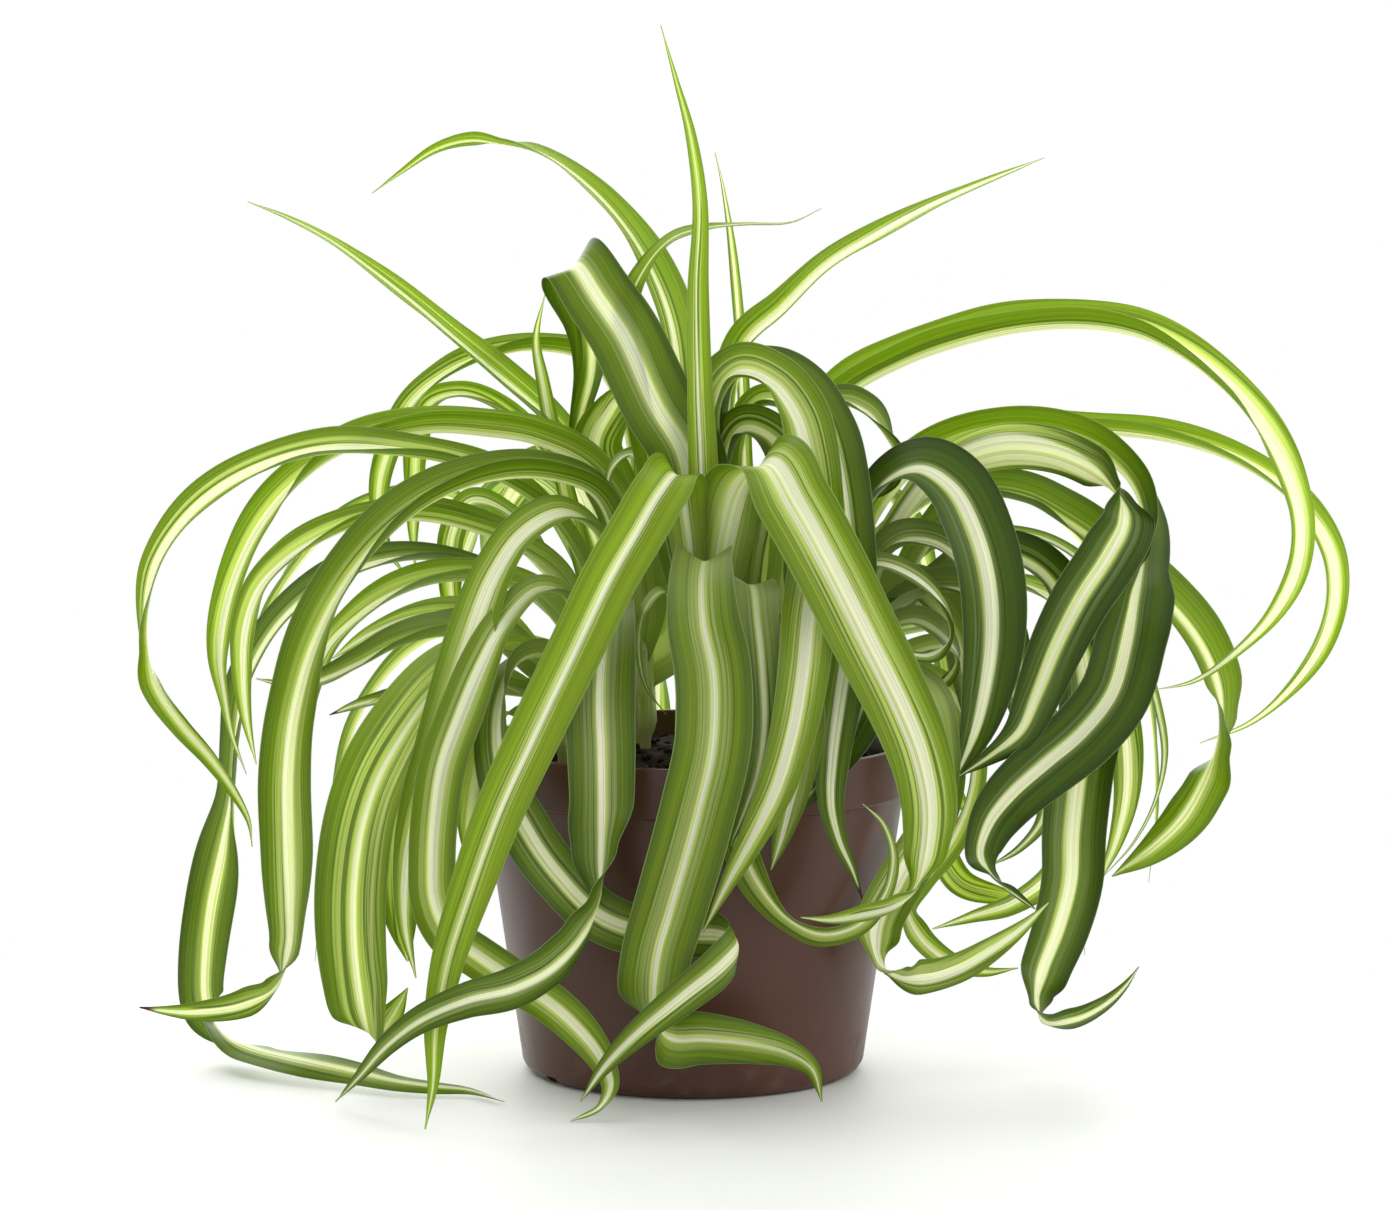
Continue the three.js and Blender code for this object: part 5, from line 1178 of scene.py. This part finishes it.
class SpiderMakePot(bpy.types.Operator):
    """Model the round nursery pot with its band, rounded foot and drain holes"""
    bl_idname = "spider_plant.make_pot"
    bl_label = "Make Pot"

    def execute(self, context):
        piece = turn_outline("nursery_pot", pot_outline(), POT_SIDES)
        for i in range(DRAIN_HOLES):
            angle = (i + 0.5) / DRAIN_HOLES * 2 * math.pi
            bpy.ops.mesh.primitive_cylinder_add(
                vertices=32, radius=DRAIN_HOLE_RADIUS * MM, depth=4 * FLOOR * MM,
                location=(DRAIN_CIRCLE * MM * math.cos(angle), DRAIN_CIRCLE * MM * math.sin(angle), 0))
            cut_away(piece, bpy.context.object)
        slot = Matrix.Diagonal((SLOT_WIDTH * MM, 2 * FOOT_ROUNDING * MM, 2 * SLOT_HEIGHT * MM, 1))
        for degrees in SLOT_ANGLES:
            turn = Matrix.Rotation(math.radians(degrees), 4, "Z")
            bpy.ops.mesh.primitive_cube_add(size=1)
            cutter = bpy.context.object
            cutter.data.transform(slot)
            cutter.data.transform(turn @ Matrix.Translation((0, (-WALL_FOOT_RADIUS + 1) * MM, 0)))
            cut_away(piece, cutter)
        smooth_faces(piece, degrees=35)
        material = pot_material(context.scene.spider_pot_looks)
        finish_piece(piece, "nursery_pot", "pot", [material])
        return {"FINISHED"}


def soil_material(looks):
    """Dark peat: mottled browns with pale fibres."""
    material, tree = new_tree("potting_soil")
    at = place_on_piece(tree)
    lumps = noise(tree, at, 260.0, 5.0, 0.65)
    fibres = noise(tree, at, 900.0, 3.0, 0.7)
    peat = tuple(looks.peat)
    shown = mix_colour(tree, span(tree, lumps, 0.3, 0.7), tuple(0.35 * c for c in peat), peat)
    shown = mix_colour(tree, span(tree, fibres, 0.62, 0.74, 0.0, 0.6), shown, FIBRE)
    surface(tree, principled(
        tree, Base_Color=shown, Roughness=0.92, Specular_IOR_Level=0.15,
        Normal=bumps(tree, lumps, 0.8, 1.5 * MM)))
    return material


def soil_outline():
    edge = wall_radius(BAND_BOTTOM - 1) - WALL - SOIL_GAP
    foot = wall_radius(FOOT_ROUNDING) - WALL - SOIL_GAP
    outline = [(6, FLOOR + SOIL_GAP), *rounded(foot, FOOT_ROUNDING - FLOOR + 1, FLOOR + SOIL_GAP, 4)]
    outline += [(wall_radius(40) - WALL - SOIL_GAP, 40), (edge, BAND_BOTTOM - 1), (edge, SOIL_TOP - 0.6)]
    rings = [edge * (1 - (k + 0.6) / SOIL_RINGS) for k in range(SOIL_RINGS)]
    return outline + [(radius, SOIL_TOP) for radius in rings]


def swell(x, y):
    """How far the soil's broad waves lift it at x and y, in mm."""
    wave = math.sin(x * 0.11 + 0.6) * math.cos(y * 0.13) + 0.5 * math.sin(x * 0.23 - y * 0.19)
    return SOIL_SWELL * wave


def crumble(piece):
    """Waves and lumps on the surface of the soil."""
    draw = random.Random(SOIL_SEED)
    waves = [(draw.uniform(0.3, 1.6), draw.uniform(0, 6.3), draw.uniform(0, 6.3)) for _ in range(9)]
    for vertex in piece.data.vertices:
        x, y, z = vertex.co / MM
        if z < SOIL_TOP - 0.1:
            continue
        lift = swell(x, y)
        for rate, turn, phase in waves:
            along = x * math.cos(turn) + y * math.sin(turn)
            lift += SOIL_WAVE / rate ** 0.5 * math.sin(rate * along + phase)
        vertex.co.z += lift * MM


def scatter_crumbs():
    """Small lumps of peat that lie on the soil, joined in one mesh."""
    draw = random.Random(SOIL_SEED + 1)
    deselect()
    bpy.ops.mesh.primitive_ico_sphere_add(subdivisions=2, radius=1)
    lump = bpy.context.object
    for vertex in lump.data.vertices:
        vertex.co *= 1 + 0.25 * math.sin(vertex.co.x * 5 + vertex.co.y * 3) * math.cos(vertex.co.z * 4)
    copies = []
    for _ in range(CRUMBS):
        radius = CRUMB_REACH * math.sqrt(draw.random())
        angle = draw.uniform(0, 2 * math.pi)
        size = draw.uniform(SMALLEST_CRUMB, LARGEST_CRUMB)
        copy = lump.copy()
        copy.data = lump.data.copy()
        bpy.context.collection.objects.link(copy)
        x, y = radius * math.cos(angle), radius * math.sin(angle)
        height = SOIL_TOP + swell(x, y) + size * 0.2
        turn = Matrix.Rotation(draw.uniform(0, 6.3), 4, (draw.random(), draw.random(), 1))
        sizes = (size, size * draw.uniform(0.5, 1), size * draw.uniform(0.4, 0.8))
        stretch = Matrix.Diagonal((*(one * MM for one in sizes), 1))
        copy.data.transform(Matrix.Translation((x * MM, y * MM, height * MM)) @ turn @ stretch)
        copies.append(copy)
    bpy.data.objects.remove(lump)
    deselect()
    for copy in copies:
        copy.select_set(True)
    bpy.context.view_layer.objects.active = copies[0]
    bpy.ops.object.join()
    return bpy.context.object


class SpiderFillSoil(bpy.types.Operator):
    """Fill the pot with potting soil and scatter crumbs on it"""
    bl_idname = "spider_plant.fill_soil"
    bl_label = "Fill Soil"

    def execute(self, context):
        material = soil_material(context.scene.spider_pot_looks)
        piece = turn_outline("soil_body", soil_outline(), SOIL_SIDES)
        crumble(piece)
        smooth_faces(piece, degrees=60)
        finish_piece(piece, "soil_body", "soil", [material])
        crumbs = scatter_crumbs()
        use(crumbs)
        bpy.ops.object.shade_smooth()
        finish_piece(crumbs, "soil_crumbs", "soil", [material])
        return {"FINISHED"}


# Stage

def floor_material(looks):
    """A pale floor, faded to white behind the plant and to the right by a painted glow, an emission."""
    material, tree = new_tree("pale_floor")
    at = place_on_piece(tree)
    x, y, _ = axes(tree, at)
    from_pot = add(tree, "ShaderNodeVectorMath", {0: at}, operation="LENGTH").outputs["Value"]
    solid = principled(tree, Base_Color=tuple(looks.floor), Roughness=0.6)
    # Painted light: an emission glow, stronger with distance behind the plant and to the right, lightens the
    # floor's shadow there
    glow = add(tree, "ShaderNodeEmission", {"Color": (1.0, 1.0, 1.0), "Strength": 1.0})
    far = plus(tree, plus(tree, from_pot, times(tree, y, 1.6)), times(tree, x, 0.7))
    surface(tree, mixed_shader(tree, span(tree, far, 0.02, 0.42), solid, glow))
    return material


def soft_light(name, at, toward, size, watts):
    data = bpy.data.lights.new(name, "AREA")
    data.shape = "RECTANGLE"
    data.size, data.size_y = size
    data.energy = watts
    lamp = bpy.data.objects.new(name, data)
    lamp.location = at
    lamp.rotation_euler = (Vector(toward) - Vector(at)).to_track_quat("-Z", "Y").to_euler()
    bpy.context.scene.collection.objects.link(lamp)


class SpiderSetStage(bpy.types.Operator):
    """Lay the pale floor, hang the soft lights and aim the camera"""
    bl_idname = "spider_plant.set_stage"
    bl_label = "Set Stage"

    def execute(self, context):
        looks = context.scene.spider_stage_looks
        deselect()
        bpy.ops.mesh.primitive_grid_add(x_subdivisions=8, y_subdivisions=8, size=STAGE_SIZE)
        floor = context.object
        floor.name = "floor"
        floor.data.materials.append(floor_material(looks))
        world = bpy.data.worlds.new("white_surround")
        world.use_nodes = True
        background = world.node_tree.nodes["Background"].inputs
        background["Color"].default_value = (1, 1, 1, 1)
        background["Strength"].default_value = looks.surround
        context.scene.world = world
        for name, (at, aim, size, share) in LIGHTS.items():
            soft_light(name, at, (0, 0, aim), size, looks.key * share)
        data = bpy.data.cameras.new("photo_view")
        data.sensor_width = SENSOR
        data.lens = FOCAL_PIXELS * SENSOR / PHOTO_WIDTH
        data.clip_start = 0.05
        camera = bpy.data.objects.new("photo_view", data)
        offset = (PHOTO_WIDTH / 2 - AXIS_PIXEL) * PIXEL_AT_AXIS
        camera.location = (offset * MM, EYE[1] * MM, EYE[2] * MM)
        camera.rotation_euler = (math.radians(90 - CAMERA_TILT), 0, 0)
        context.scene.collection.objects.link(camera)
        context.scene.camera = camera
        context.scene.view_settings.view_transform = "Standard"
        return {"FINISHED"}


class SpiderPlantPanel(bpy.types.Panel):
    """The plant's steps and looks"""
    bl_idname = "VIEW3D_PT_spider_plant"
    bl_label = "Spider Plant"
    bl_space_type = "VIEW_3D"
    bl_region_type = "UI"
    bl_category = "Spider Plant"

    def draw(self, context):
        layout = self.layout
        for group in GROUPS:
            looks = getattr(context.scene, group)
            for key in looks.__annotations__:
                layout.prop(looks, key)
        for operator in STEPS:
            layout.operator(operator.bl_idname)


GROUPS = {
    "spider_leaf_looks": SpiderLeafLooks,
    "spider_pot_looks": SpiderPotLooks,
    "spider_stage_looks": SpiderStageLooks,
}
STEPS = (SpiderMakePot, SpiderFillSoil, SpiderGrowCrowns, SpiderGrowLeaves, SpiderSetStage)


def register():
    for one in (*GROUPS.values(), *STEPS, SpiderPlantPanel):
        bpy.utils.register_class(one)
    for name, group in GROUPS.items():
        setattr(bpy.types.Scene, name, bpy.props.PointerProperty(type=group))


def unregister():
    for name in GROUPS:
        delattr(bpy.types.Scene, name)
    for one in (SpiderPlantPanel, *reversed(STEPS), *GROUPS.values()):
        bpy.utils.unregister_class(one)


def main():
    register()
    bpy.ops.spider_plant.make_pot()
    bpy.ops.spider_plant.fill_soil()
    bpy.ops.spider_plant.grow_crowns()
    bpy.ops.spider_plant.grow_leaves()
    bpy.ops.spider_plant.set_stage()
    bpy.context.view_layer.update()


if __name__ == "__main__":
    main()
